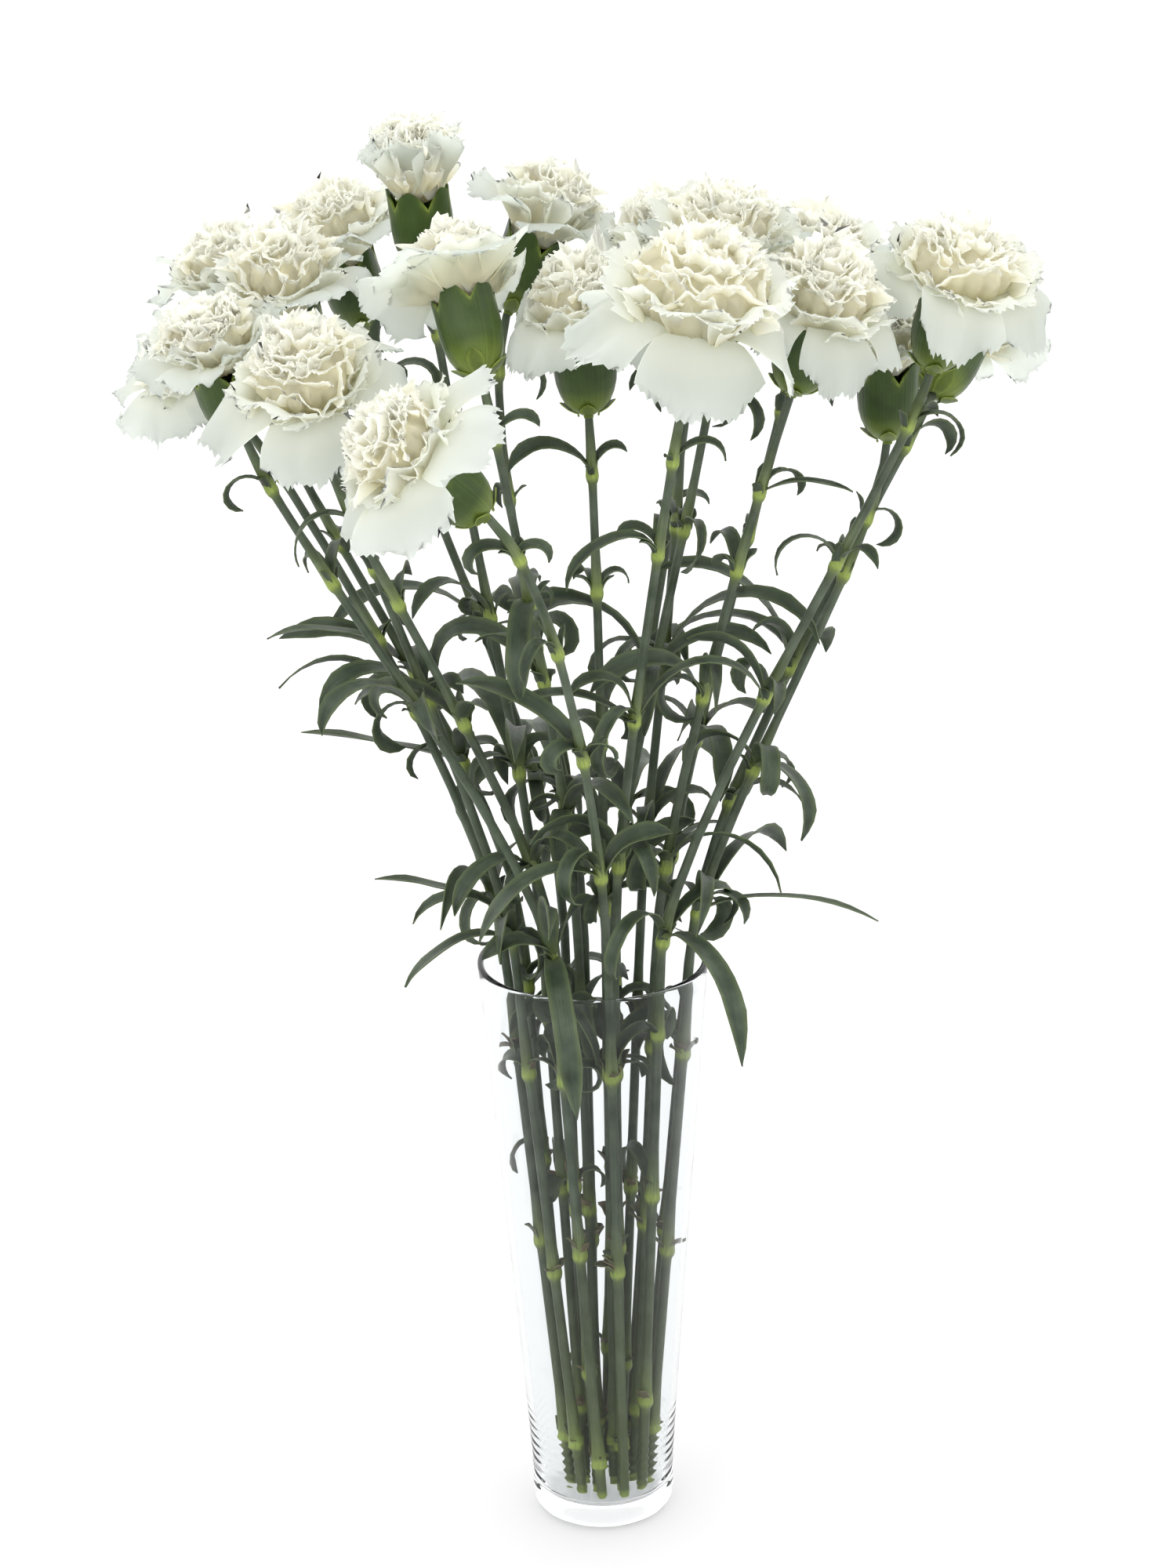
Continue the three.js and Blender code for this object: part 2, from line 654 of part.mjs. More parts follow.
/** A leaf of given form at a place on a stem; the turn is round the upright, from +X. */
function makeLeaf(stem, along, form) {
  const frame = frameAt(stem, along + LEAF.aboveJoint);
  const up = frame.ahead.clone().add(Z).normalize();
  const out = new THREE.Vector3(Math.cos(form.turn), Math.sin(form.turn), 0);
  out.addScaledVector(up, -out.dot(up)).normalize();
  const across = new THREE.Vector3().crossVectors(up, out);
  return { ...form, owner: stem.index, along, root: frame.point, up, out, across };
}

/** The leaves set by hand, then opposite pairs by rule at every joint that kept its leaves. */
function growLeaves(stems) {
  const balls = obstacleBalls(stems);
  const leaves = [];
  const keep = (leaf) => {
    leaves.push(leaf);
    for (const centre of leafLine(leaf).slice(1)) {
      balls.push({ owner: -1, along: 0, centre, radius: leaf.halfWidth });
    }
  };
  for (const set of SET_LEAVES) {
    const stem = stems[set.stem - 1];
    const form = { ...set, turn: rad(set.turn), start: rad(set.start), curl: rad(set.curl), swing: 0 };
    fitLeaf(stem, riseTo(stem.path, stem.length, set.height), form, balls, keep);
  }
  for (const stem of stems) {
    const dice = new Dice(901 + stem.index);
    stem.joints.forEach((along, order) => {
      const hook = order < HOOK_JOINTS;
      const cross = order * Math.PI / 2 + rad(dice.between(-30, 30));
      for (const side of [0, 1]) {
        const grows = dice.next() < (hook ? LEAF.hookShare : LEAF.longShare);
        const form = {
          turn: cross + side * Math.PI,
          length: hook ? dice.between(24, 50) : dice.between(56, 112),
          halfWidth: hook ? dice.between(2.2, 3.2) : dice.between(3.2, 4.8),
          start: rad(hook ? 30 : 24),
          curl: rad(hook ? dice.between(120, 250) : dice.between(70, 165)),
          late: dice.between(0.9, 1.7),
          swing: dice.between(-0.35, 0.35),
        };
        if (grows && frameAt(stem, along).point.z > LEAF.lowest) {
          fitLeaf(stem, along, form, balls, keep);
        }
      }
    });
  }
  return leaves;
}

/** Turns and shortens a leaf until it is clear of everything, or gives it up. */
function fitLeaf(stem, along, form, balls, keep) {
  for (let attempt = 0; attempt < LEAF.attempts; attempt += 1) {
    const aside = (attempt % 2 === 0 ? 1 : -1) * Math.ceil(attempt / 2) * LEAF.turnStep;
    const length = form.length * (1 - LEAF.trim * attempt);
    const leaf = makeLeaf(stem, along, { ...form, turn: form.turn + aside, length });
    if (isClear(leaf, balls)) {
      keep(leaf);
      return;
    }
  }
}

// ---------------------------------------------------------------- the whole
const MATERIALS = {
  glass: { color: 0xe6efee, roughness: 0.03, metalness: 0, transparent: true, opacity: 0.35 },
  stem: { color: 0x4c6244, roughness: 0.6, metalness: 0 },
  petal: { color: 0xf3f1e6, roughness: 0.75, metalness: 0 },
};

function part(name, geometry, material) {
  const mesh = new THREE.Mesh(geometry, new THREE.MeshStandardMaterial(MATERIALS[material]));
  mesh.name = name;
  return mesh;
}

function buildVaseOfCarnations() {
  const group = new THREE.Group();
  const stems = placeStems();
  const leaves = growLeaves(stems);
  group.add(part("vase", vaseGeometry(), "glass"));
  for (const stem of stems) {
    const number = String(stem.index + 1).padStart(2, "0");
    const own = leaves.filter((leaf) => leaf.owner === stem.index);
    const green = [stemGeometry(stem), ...own.map(leafGeometry)];
    group.add(part(`stem_${number}`, geometryOf(fuse(green.map(solid))), "stem"));
    group.add(part(`bloom_${number}`, bloomGeometry(stem, stems), "petal"));
  }
  return group;
}

export default buildVaseOfCarnations();
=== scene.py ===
"""A dry glass vase holding twenty cut white carnations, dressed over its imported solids.

Lengths are in millimetres until a mesh is written, in the frame of the solids: +Z up, -Y the front,
and the origin in the middle of the vase's underside.
"""

from __future__ import annotations

import logging
import math
from collections.abc import Callable, Iterator, Sequence
from contextlib import contextmanager
from dataclasses import dataclass, field, replace
from enum import Enum

import bpy
import numpy as np
from mathutils import Matrix, Vector

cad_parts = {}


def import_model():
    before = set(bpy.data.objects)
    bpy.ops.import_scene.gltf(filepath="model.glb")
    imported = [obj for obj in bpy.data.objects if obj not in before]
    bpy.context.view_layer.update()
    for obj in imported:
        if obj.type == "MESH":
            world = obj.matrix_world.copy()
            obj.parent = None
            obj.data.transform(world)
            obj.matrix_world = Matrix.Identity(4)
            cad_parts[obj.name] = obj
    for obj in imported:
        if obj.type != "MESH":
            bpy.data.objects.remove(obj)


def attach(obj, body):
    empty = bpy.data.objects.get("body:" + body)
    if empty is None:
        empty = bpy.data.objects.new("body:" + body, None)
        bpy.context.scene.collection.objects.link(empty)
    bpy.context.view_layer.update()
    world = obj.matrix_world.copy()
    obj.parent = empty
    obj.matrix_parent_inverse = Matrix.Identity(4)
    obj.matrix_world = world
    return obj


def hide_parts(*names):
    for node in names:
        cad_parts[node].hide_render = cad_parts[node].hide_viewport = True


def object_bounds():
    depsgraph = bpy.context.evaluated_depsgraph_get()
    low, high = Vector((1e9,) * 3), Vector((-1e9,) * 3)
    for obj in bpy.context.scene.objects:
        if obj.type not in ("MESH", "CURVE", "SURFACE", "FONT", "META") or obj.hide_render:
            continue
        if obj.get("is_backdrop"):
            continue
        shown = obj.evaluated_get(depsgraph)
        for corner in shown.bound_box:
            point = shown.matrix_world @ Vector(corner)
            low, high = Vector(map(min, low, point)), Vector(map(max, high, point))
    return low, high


LOG = logging.getLogger("carnations")
MM = 0.001
UP = np.array([0.0, 0.0, 1.0])
BACK = np.array([0.0, 1.0, 0.0])
PATTERN_EDGE = 0.999
JOINT_SEED, BLOOM_SEED, PAIR_SEED, FILLER_SEED, STUB_SEED, AGE_AND_FLOOR_LIGHT_SEED, MARGIN_SEED = (
    101, 501, 901, 1301, 1701, 2300, 7100)

Colour = tuple[float, float, float]
Pair = tuple[float, float]
Slopes = tuple[float, ...]
Plane = tuple[np.ndarray, float]
Rows = np.ndarray
Piece = bpy.types.Object
Socket = bpy.types.NodeSocket


# Small tools.
class Dice:
    """A repeatable run of draws between 0 and 1."""

    def __init__(self, seed: int) -> None:
        """Starts the run at a seed."""
        self.state = seed

    def next(self) -> float:
        """Draws the next number."""
        self.state = (self.state * 1664525 + 1013904223) & 0xFFFFFFFF
        return self.state / 2**32

    def between(self, low: float, high: float) -> float:
        """Draws a number between low and high."""
        return low + (high - low) * self.next()


def unit(vector: Rows) -> Rows:
    """Gives a vector's direction, one long."""
    return vector / np.linalg.norm(vector)


def lerp(low: float, high: float, share: float) -> float:
    """Gives the value at a share of the way from low to high."""
    return low + (high - low) * share


def smooth(values: Rows | float, low: float, high: float) -> Rows:
    """Rises smoothly from 0 at low to 1 at high."""
    share = np.clip((np.asarray(values, float) - low) / (high - low), 0, 1)
    return share * share * (3 - 2 * share)


def turn_about(vector: Rows, axis: Rows, angle: float) -> Rows:
    """Turns a vector about a unit axis by an angle in radians."""
    along = axis * axis.dot(vector)
    return along + (vector - along) * math.cos(angle) + np.cross(axis, vector) * math.sin(angle)


def from_upright(axis: Rows) -> Rows:
    """Gives the 3 x 3 turn that takes +Z to an axis by the shortest way."""
    return np.array(Vector(UP).rotation_difference(Vector(axis)).to_matrix())


# Modelling by operator.
def put_down() -> None:
    """Leaves edit mode and deselects every object."""
    if bpy.context.object is not None and bpy.context.object.mode != "OBJECT":
        bpy.ops.object.mode_set(mode="OBJECT")
    bpy.ops.object.select_all(action="DESELECT")


def pick_up(*pieces: Piece) -> None:
    """Selects these objects alone and makes the first one active."""
    put_down()
    for piece in pieces:
        piece.select_set(True)
    bpy.context.view_layer.objects.active = pieces[0]


def started(name: str, primitive: Callable[..., object], **settings: object) -> Piece:
    """Adds a primitive by its operator and names it, with its place in its mesh."""
    put_down()
    primitive(**settings)
    bpy.ops.object.transform_apply(location=True, rotation=False, scale=False)
    return named(name)


@contextmanager
def editing(piece: Piece, keep: Callable[[Vector], bool] | None = None) -> Iterator[None]:
    """Opens a piece in edit mode, with all of it or only its chosen points selected.

    Args:
        piece: The mesh object to edit.
        keep: Says of a point's place whether it is selected; None selects all.
    """
    pick_up(piece)
    bpy.ops.object.mode_set(mode="EDIT")
    bpy.ops.mesh.select_mode(type="VERT")
    bpy.ops.mesh.select_all(action="SELECT" if keep is None else "DESELECT")
    if keep is not None:
        bpy.ops.object.mode_set(mode="OBJECT")
        for point in piece.data.vertices:
            point.select = keep(point.co)
        bpy.ops.object.mode_set(mode="EDIT")
    yield
    bpy.ops.object.mode_set(mode="OBJECT")


def turned(name: str, profile: Sequence[Pair], sides: int) -> Piece:
    """Raises a closed round body from a disc, ring by ring.

    Args:
        name: The new object's name.
        profile: Radius and height of each ring, from the middle of the underside outward, and on to
            the last ring, whose disc closes the body.
        sides: How many sides the rings have.

    Returns:
        The new object, upright on the Z axis.
    """
    radius, height = profile[0]
    piece = started(name, bpy.ops.mesh.primitive_circle_add, vertices=sides, radius=radius * MM,
                    fill_type="NGON", location=(0, 0, height * MM))
    with editing(piece):
        for wide, high in profile[1:]:
            bpy.ops.mesh.extrude_region_move(
                TRANSFORM_OT_translate={"value": (0, 0, (high - height) * MM)})
            share = wide / radius
            bpy.ops.transform.resize(value=(share, share, 1), center_override=(0, 0, high * MM))
            radius, height = wide, high
        bpy.ops.mesh.select_all(action="SELECT")
        bpy.ops.mesh.normals_make_consistent(inside=False)
    return piece


def column(name: str, rings: int, sides: int) -> Piece:
    """Makes an upright column one high, with evenly spaced rings, ready to be laid along a stem."""
    piece = started(name, bpy.ops.mesh.primitive_cylinder_add, vertices=sides, radius=1, depth=1,
                    end_fill_type="NGON", location=(0, 0, 0.5))
    with editing(piece):
        bpy.ops.mesh.select_mode(type="EDGE")
        bpy.ops.mesh.select_all(action="DESELECT")
        bpy.ops.object.mode_set(mode="OBJECT")
        for edge in piece.data.edges:
            low, high = (piece.data.vertices[k].co.z for k in edge.vertices)
            edge.select = abs(high - low) > 0.5
        bpy.ops.object.mode_set(mode="EDIT")
        bpy.ops.mesh.subdivide(number_cuts=rings - 2)
    return piece


def blank(name: str, across: int, along: int, edge_cuts: int) -> Piece:
    """Makes a flat blade, x from -1 to 1 and y from 0 to 1, to be copied and bent.

    Args:
        name: The new object's name.
        across: How many faces wide it is.
        along: How many faces long it is.
        edge_cuts: How many times each edge of its far end is cut, for the teeth there.

    Returns:
        The new object, left out of the render.
    """
    piece = started(name, bpy.ops.mesh.primitive_grid_add, x_subdivisions=across,
                    y_subdivisions=along, size=2, calc_uvs=True)
    with editing(piece):
        bpy.ops.transform.resize(value=(1, 0.5, 1), center_override=(0, 0, 0))
        bpy.ops.transform.translate(value=(0, 0.5, 0))
    if edge_cuts:
        with editing(piece, lambda place: place.y > PATTERN_EDGE):
            bpy.ops.mesh.subdivide(number_cuts=edge_cuts)
    piece.hide_render = True
    return piece


def named(name: str) -> Piece:
    """Names the active object and its mesh."""
    piece = bpy.context.object
    piece.name = name
    piece.data.name = name
    return piece


def places(piece: Piece) -> Rows:
    """Reads where a mesh's points are, as rows of x, y and z."""
    numbers = np.empty(len(piece.data.vertices) * 3)
    piece.data.vertices.foreach_get("co", numbers)
    return numbers.reshape(-1, 3)


def move_to(piece: Piece, points: Rows) -> None:
    """Moves a mesh's points to places given in millimetres."""
    piece.data.vertices.foreach_set("co", (points * MM).ravel())
    piece.data.update()


def paint(piece: Piece, **numbers: Rows | float) -> None:
    """Writes numbers for the points into named attributes, which the finishes read."""
    for name, values in numbers.items():
        layer = piece.data.attributes.get(name) or piece.data.attributes.new(name, "FLOAT", "POINT")
        layer.data.foreach_set("value", np.full(len(layer.data), values, np.float32))


def copy_of(pattern: Piece, name: str) -> Piece:
    """Copies an object with a mesh of its own."""
    piece = pattern.copy()
    piece.data = pattern.data.copy()
    piece.name = piece.data.name = name
    piece.hide_render = False
    bpy.context.scene.collection.objects.link(piece)
    return piece


def joined(pieces: list[Piece], name: str) -> Piece:
    """Joins meshes into one object."""
    pick_up(*pieces)
    if len(pieces) > 1:
        bpy.ops.object.join()
    return named(name)


def thicken(piece: Piece, thickness: float) -> None:
    """Gives a sheet its thickness, in millimetres, half to each side."""
    pick_up(piece)
    shell = piece.modifiers.new("thickness", "SOLIDIFY")
    shell.thickness = thickness * MM
    shell.offset = 0
    bpy.ops.object.modifier_apply(modifier=shell.name)


def shade(piece: Piece, angle: float) -> None:
    """Shades a piece smooth but for edges sharper than an angle in degrees."""
    pick_up(piece)
    bpy.ops.object.shade_smooth_by_angle(angle=math.radians(angle))


# Finishes.
class Nodes:
    """Adds shader nodes to one material and joins them."""

    def __init__(self, name: str) -> None:
        """Starts a new material with a Principled shader."""
        self.material = bpy.data.materials.new(name)
        self.material.use_nodes = True
        self.tree = self.material.node_tree
        self.shader = self.tree.nodes["Principled BSDF"]

    def add(self, kind: str, **settings: object) -> bpy.types.ShaderNode:
        """Adds a node and sets its properties."""
        node = self.tree.nodes.new(kind)
        for key, value in settings.items():
            setattr(node, key, value)
        return node

    def link(self, source: Socket, target: Socket) -> None:
        """Joins an output to an input."""
        self.tree.links.new(source, target)

    def attribute(self, name: str) -> Socket:
        """Reads a number painted on the piece."""
        return self.add("ShaderNodeAttribute", attribute_name=name).outputs["Fac"]

    def noise(self, scale: float, detail: float, where: str = "Object",
              stretch: Colour = (1, 1, 1)) -> Socket:
        """Makes a cloudy pattern.

        Args:
            scale: Spots to a metre, or to the width of the UV map.
            detail: How many finer layers it has.
            where: The coordinates it lies on, Object or UV.
            stretch: A scale for each axis.

        Returns:
            The pattern's value, from 0 to 1.
        """
        place = self.add("ShaderNodeTexCoord").outputs[where]
        mapping = self.add("ShaderNodeMapping")
        mapping.inputs["Scale"].default_value = stretch
        self.link(place, mapping.inputs["Vector"])
        pattern = self.add("ShaderNodeTexNoise")
        pattern.inputs["Scale"].default_value = scale
        pattern.inputs["Detail"].default_value = detail
        self.link(mapping.outputs["Vector"], pattern.inputs["Vector"])
        return pattern.outputs["Fac"]

    def span(self, value: Socket, low: float, high: float) -> Socket:
        """Spreads a value from 0 to 1 over low to high."""
        node = self.add("ShaderNodeMapRange")
        node.inputs["To Min"].default_value = low
        node.inputs["To Max"].default_value = high
        self.link(value, node.inputs["Value"])
        return node.outputs["Result"]

    def blend(self, share: Socket, low: Colour | Socket, high: Colour | Socket) -> Socket:
        """Mixes two colours by a share."""
        node = self.add("ShaderNodeMix", data_type="RGBA")
        self.link(share, node.inputs[0])
        for colour, socket in ((low, node.inputs[6]), (high, node.inputs[7])):
            if isinstance(colour, tuple):
                socket.default_value = (*colour, 1)
            else:
                self.link(colour, socket)
        return node.outputs[2]

    def bump(self, height: Socket, distance: float) -> None:
        """Raises the surface by a pattern, a distance in millimetres at most."""
        node = self.add("ShaderNodeBump")
        node.inputs["Strength"].default_value = 1
        node.inputs["Distance"].default_value = distance * MM
        self.link(height, node.inputs["Height"])
        self.link(node.outputs["Normal"], self.shader.inputs["Normal"])

    def mix_in(self, share: float | Socket, kind: str, colour: Colour | Socket) -> None:
        """Sends a mix of the main shader and another one to the surface.

        Args:
            share: How much of the other shader there is.
            kind: The other shader's node type.
            colour: Its colour.
        """
        other = self.add(kind)
        mix = self.add("ShaderNodeMixShader")
        for value, socket in ((share, mix.inputs["Fac"]), (colour, other.inputs["Color"])):
            if isinstance(value, Socket):
                self.link(value, socket)
            else:
                socket.default_value = (*value, 1) if isinstance(value, tuple) else value
        self.link(self.shader.outputs["BSDF"], mix.inputs[1])
        self.link(other.outputs["BSDF"], mix.inputs[2])
        self.link(mix.outputs["Shader"], self.tree.nodes["Material Output"].inputs["Surface"])

    def settle(self, **values: float | Colour) -> None:
        """Sets plain values on the shader; an underscore in a name stands for a space."""
        for name, value in values.items():
            socket = self.shader.inputs[name.replace("_", " ")]
            socket.default_value = (*value, 1) if name == "Base_Color" else value


@dataclass(frozen=True)
class PetalFinish:
    """Thin creamy petal, cooler on the guards, with fine veins.

    Towards the claw it turns warm and then deep yellow: partly the claw's own tint, partly painted
    warm shade in the deep folds and gaps of the heart.
    """

    heart: Colour = (0.985, 0.98, 0.945)
    guard: Colour = (0.87, 0.895, 0.865)
    # The two colours below, for the claw and the throat, are partly the claw's own tint and partly
    # painted warm shade deep in the heart's folds.
    warm: Colour = (0.985, 0.955, 0.80)
    throat_shade: Colour = (0.97, 0.87, 0.50)
    through: Colour = (0.985, 0.985, 0.945)
    cloud: Colour = (0.97, 0.97, 0.925)
    vein_depth: float = 0.10
    thinness: float = 0.78

    def material(self) -> bpy.types.Material:
        """Makes the finish."""
        nodes = Nodes("carnation_petal")
        inner = nodes.blend(nodes.span(nodes.noise(90, 3), -0.25, 0.75), self.heart, self.cloud)
        pale = nodes.blend(nodes.attribute("guarding"), inner, self.guard)
        # Painted warm shade: towards the claw and in the core the colour warms, partly the claw's own
        # tint, and the deepest parts turn to the throat colour.
        warmer = nodes.blend(nodes.attribute("warm"), pale, self.warm)
        colour = nodes.blend(nodes.span(nodes.attribute("warm"), -6, 1), warmer, self.throat_shade)
        nodes.link(colour, nodes.shader.inputs["Base Color"])
        nodes.bump(nodes.noise(22, 2, "UV", (1, 0.05, 1)), self.vein_depth)
        nodes.link(nodes.span(nodes.noise(400, 2), 0.5, 0.75), nodes.shader.inputs["Roughness"])
        nodes.settle(Sheen_Weight=0.1, Specular_IOR_Level=0.15)
        lit = nodes.blend(nodes.attribute("guarding"), self.through, self.guard)
        # The light let through the petal is warmed in the same places, the same painted warm shade.
        lit = nodes.blend(nodes.attribute("warm"), lit, self.warm)
        nodes.mix_in(self.thinness, "ShaderNodeBsdfTranslucent", lit)
        return nodes.material


@dataclass(frozen=True)
class GreenFinish:
    """Waxy green: a base colour, its wax, and paler, aged and dried places painted on the piece.

    The aged colour, lighter and yellower low down, is partly the green's older tone and partly
    painted light from the white floor.
    """

    name: str
    base: Colour
    bloom: Colour
    pale: Colour
    aged: Colour
    dry: Colour
    streaks: Pair
    roughness: Pair = (0.36, 0.56)

    def material(self) -> bpy.types.Material:
        """Makes the finish."""
        nodes = Nodes(self.name)
        wax = nodes.span(nodes.noise(75, 4), -0.3, 1.1)
        fresh = nodes.blend(wax, self.base, self.bloom)
        # Lighter, yellower colour low down: partly the green's older tone, partly painted light from
        # the white floor.
        older_and_floor_lit = nodes.blend(nodes.attribute("aged"), fresh, self.aged)
        paler = nodes.blend(nodes.attribute("pale"), older_and_floor_lit, self.pale)
        colour = nodes.blend(nodes.attribute("dry"), paler, self.dry)
        wide, long = self.streaks
        streak = nodes.noise(1, 3, "UV", (wide, long, 1))
        shaded = nodes.add("ShaderNodeHueSaturation")
        nodes.link(nodes.span(streak, 0.45, 1.5), shaded.inputs["Value"])
        nodes.link(colour, shaded.inputs["Color"])
        nodes.link(shaded.outputs["Color"], nodes.shader.inputs["Base Color"])
        nodes.bump(streak, 0.25)
        nodes.link(nodes.span(nodes.noise(260, 2), *self.roughness), nodes.shader.inputs["Roughness"])
        nodes.settle(Specular_IOR_Level=0.3)
        return nodes.material


@dataclass(frozen=True)
class ClearFinish:
    """Clear glass, which lets lamplight through to what is behind it."""

    name: str
    tint: Colour
    bending: float
    clouding: Pair
    ripple: float

    def material(self) -> bpy.types.Material:
        """Makes the finish."""
        nodes = Nodes(self.name)
        nodes.settle(Base_Color=self.tint, IOR=self.bending, Transmission_Weight=1.0)
        nodes.link(nodes.span(nodes.noise(35, 2), *self.clouding), nodes.shader.inputs["Roughness"])
        nodes.bump(nodes.noise(28, 1, stretch=(1, 1, 2.5)), self.ripple)
        lamplight = nodes.add("ShaderNodeLightPath").outputs["Is Shadow Ray"]
        nodes.mix_in(lamplight, "ShaderNodeBsdfTransparent", self.tint)
        return nodes.material


@dataclass(frozen=True)
class FloorFinish:
    """A plain white table top, lit a little from beneath."""

    tone: Colour = (0.44, 0.44, 0.44)
    glow: float = 0.37

    def material(self) -> bpy.types.Material:
        """Makes the finish."""
        nodes = Nodes("studio_floor")
        nodes.settle(Base_Color=self.tone, Roughness=0.85, Specular_IOR_Level=0.1,
                     Emission_Strength=self.glow)
        nodes.shader.inputs["Emission Color"].default_value = (1, 1, 1, 1)
        return nodes.material


# Where the flowers stand.
BLOOM_CENTRE = 50


@dataclass(frozen=True)
class Head:
    """Where one bloom stands: its calyx foot, the way it faces, and the size of its parts.

    The last five are its diameter, how far open it is, the height of its top above the calyx foot,
    the width of its heart, and the way its first guard petal points round its own axis.
    """

    at: tuple[float, float, float]
    turn: float
    lean: float
    size: float
    open: float
    tall: float
    heart: float
    first: float

    @property
    def base(self) -> Rows:
        """The calyx foot."""
        return np.array(self.at, float)

    @property
    def axis(self) -> Rows:
        """The way the bloom faces."""
        leaning = turn_about(UP, BACK, math.radians(self.lean))
        return turn_about(leaning, UP, math.radians(self.turn))

    @property
    def angle(self) -> float:
        """Where the calyx foot stands round the vase, from +X."""
        return math.atan2(self.at[1], self.at[0])


@dataclass(frozen=True)
class Ring:
    """One ring of stems: how many, and their distance from the bunch's middle at rim and foot."""

    count: int
    rim: float
    foot: float


@dataclass
class StemLine:
    """Where one stem runs: straight inside the vase, then in one bend up to its calyx."""

    index: int
    head: Head
    foot: Rows
    rise: Rows
    bend: Rows
    joints: list[float] = field(default_factory=list)
    steps: int = 200

    def __post_init__(self) -> None:
        """Measures the line."""
        self.base = self.head.base
        self.axis = self.head.axis
        reach = np.linalg.norm(self.bend - self.base)
        self.handles = (self.bend, self.bend + self.rise * 0.24 * reach,
                        self.base - self.axis * 0.2 * reach, self.base)
        self.shares = np.linspace(0, 1, self.steps + 1)
        curve = self.curve(self.shares)
        gaps = np.linalg.norm(np.diff(curve, axis=0), axis=1)
        self.travelled = np.concatenate([[0], np.cumsum(gaps)])
        self.straight = float(np.linalg.norm(self.bend - self.foot))
        self.length = self.straight + float(self.travelled[-1])

    def curve(self, share: Rows) -> Rows:
        """Gives points of the bend at shares of it."""
        t = np.atleast_1d(share)[:, None]
        a, b, c, d = self.handles
        return a * (1 - t) ** 3 + b * 3 * t * (1 - t) ** 2 + c * 3 * t**2 * (1 - t) + d * t**3

    def points(self, along: Rows | float) -> Rows:
        """Gives the points at distances from the foot.

        Args:
            along: The distances, in millimetres.

        Returns:
            One row for each distance.
        """
        along = np.clip(np.atleast_1d(np.asarray(along, float)), 0, self.length)
        straight = self.foot + along[:, None] * self.rise
        share = np.interp(along - self.straight, self.travelled, self.shares)
        return np.where((along < self.straight)[:, None], straight, self.curve(share))

    def frames(self, along: Rows | float) -> tuple[Rows, ...]:
        """Gives points, directions and two cross directions at distances from the foot."""
        along = np.atleast_1d(np.asarray(along, float))
        step = 1e-4 * self.length
        ahead = self.points(along + step) - self.points(along - step)
        ahead /= np.linalg.norm(ahead, axis=1)[:, None]
        side = np.cross(ahead, BACK)
        side /= np.linalg.norm(side, axis=1)[:, None]
        return self.points(along), ahead, side, np.cross(ahead, side)

    def rise_to(self, height: float) -> float:
        """Gives the distance at which the stem first reaches a height."""
        low, high = 0.0, self.length
        for _ in range(30):
            middle = (low + high) / 2
            below = self.points(middle)[0, 2] < height
            low, high = (middle, high) if below else (low, middle)
        return low

    @property
    def middle(self) -> Rows:
        """The middle of the bloom."""
        return self.base + self.axis * BLOOM_CENTRE


@dataclass(frozen=True)
class SetLeaf:
    """A listed leaf, placed at the joint of a stem nearest its height; angles are in degrees."""

    stem: int
    height: float
    turn: float
    length: float
    half_width: float
    start: float
    curl: float
    late: float


HEADS = (
    Head((-67, 33, 597), 190, 5, 50, 0.05, 70, 46, 20),
    Head((-32, 66, 570), 10, 22, 72, 0.6, 70, 48, -5),
    Head((-43, -48, 571), 109, 38, 84, 0.85, 68, 56, -54),
    Head((-98, 92, 556), 195, 14, 76, 0.65, 70, 54, 10),
    Head((-148, 55, 549), 200, 12, 72, 0.8, 68, 46, 190),
    Head((-123, 22, 552), 235, 14, 78, 0.75, 74, 56, -15),
    Head((-151, 32, 527), 219, 38, 72, 0.95, 66, 48, 225),
    Head((-148, -29, 542), 225, 20, 66, 0.7, 66, 50, 180),
    Head((-110, -57, 537), 255, 30, 86, 1.15, 74, 60, -88),
    Head((-42, -120, 530), 205, 47, 88, 1, 72, 56, -110),
    Head((3, -18, 545), 240, 6, 78, 1.05, 72, 54, -59),
    Head((43, -76, 564), 295, 20, 96, 1.2, 82, 76, -86),
    Head((45, 50, 559), 220, 8, 72, 0.6, 70, 52, 170),
    Head((60, -2, 570), 300, 8, 78, 0.7, 74, 60, 90),
    Head((98, 84, 544), 320, 12, 78, 0.7, 70, 60, 40),
    Head((92, -28, 556), 310, 24, 82, 1.1, 72, 56, -72),
    Head((155, 3, 556), 320, 18, 84, 1.15, 70, 66, -92),
    Head((138, 46, 512), 275, 6, 58, 0.5, 66, 44, 200),
    Head((161, 78, 523), 60, 56, 70, 0.85, 66, 50, 10),
    Head((52, 118, 542), 270, 6, 76, 0.7, 72, 58, 90),
)

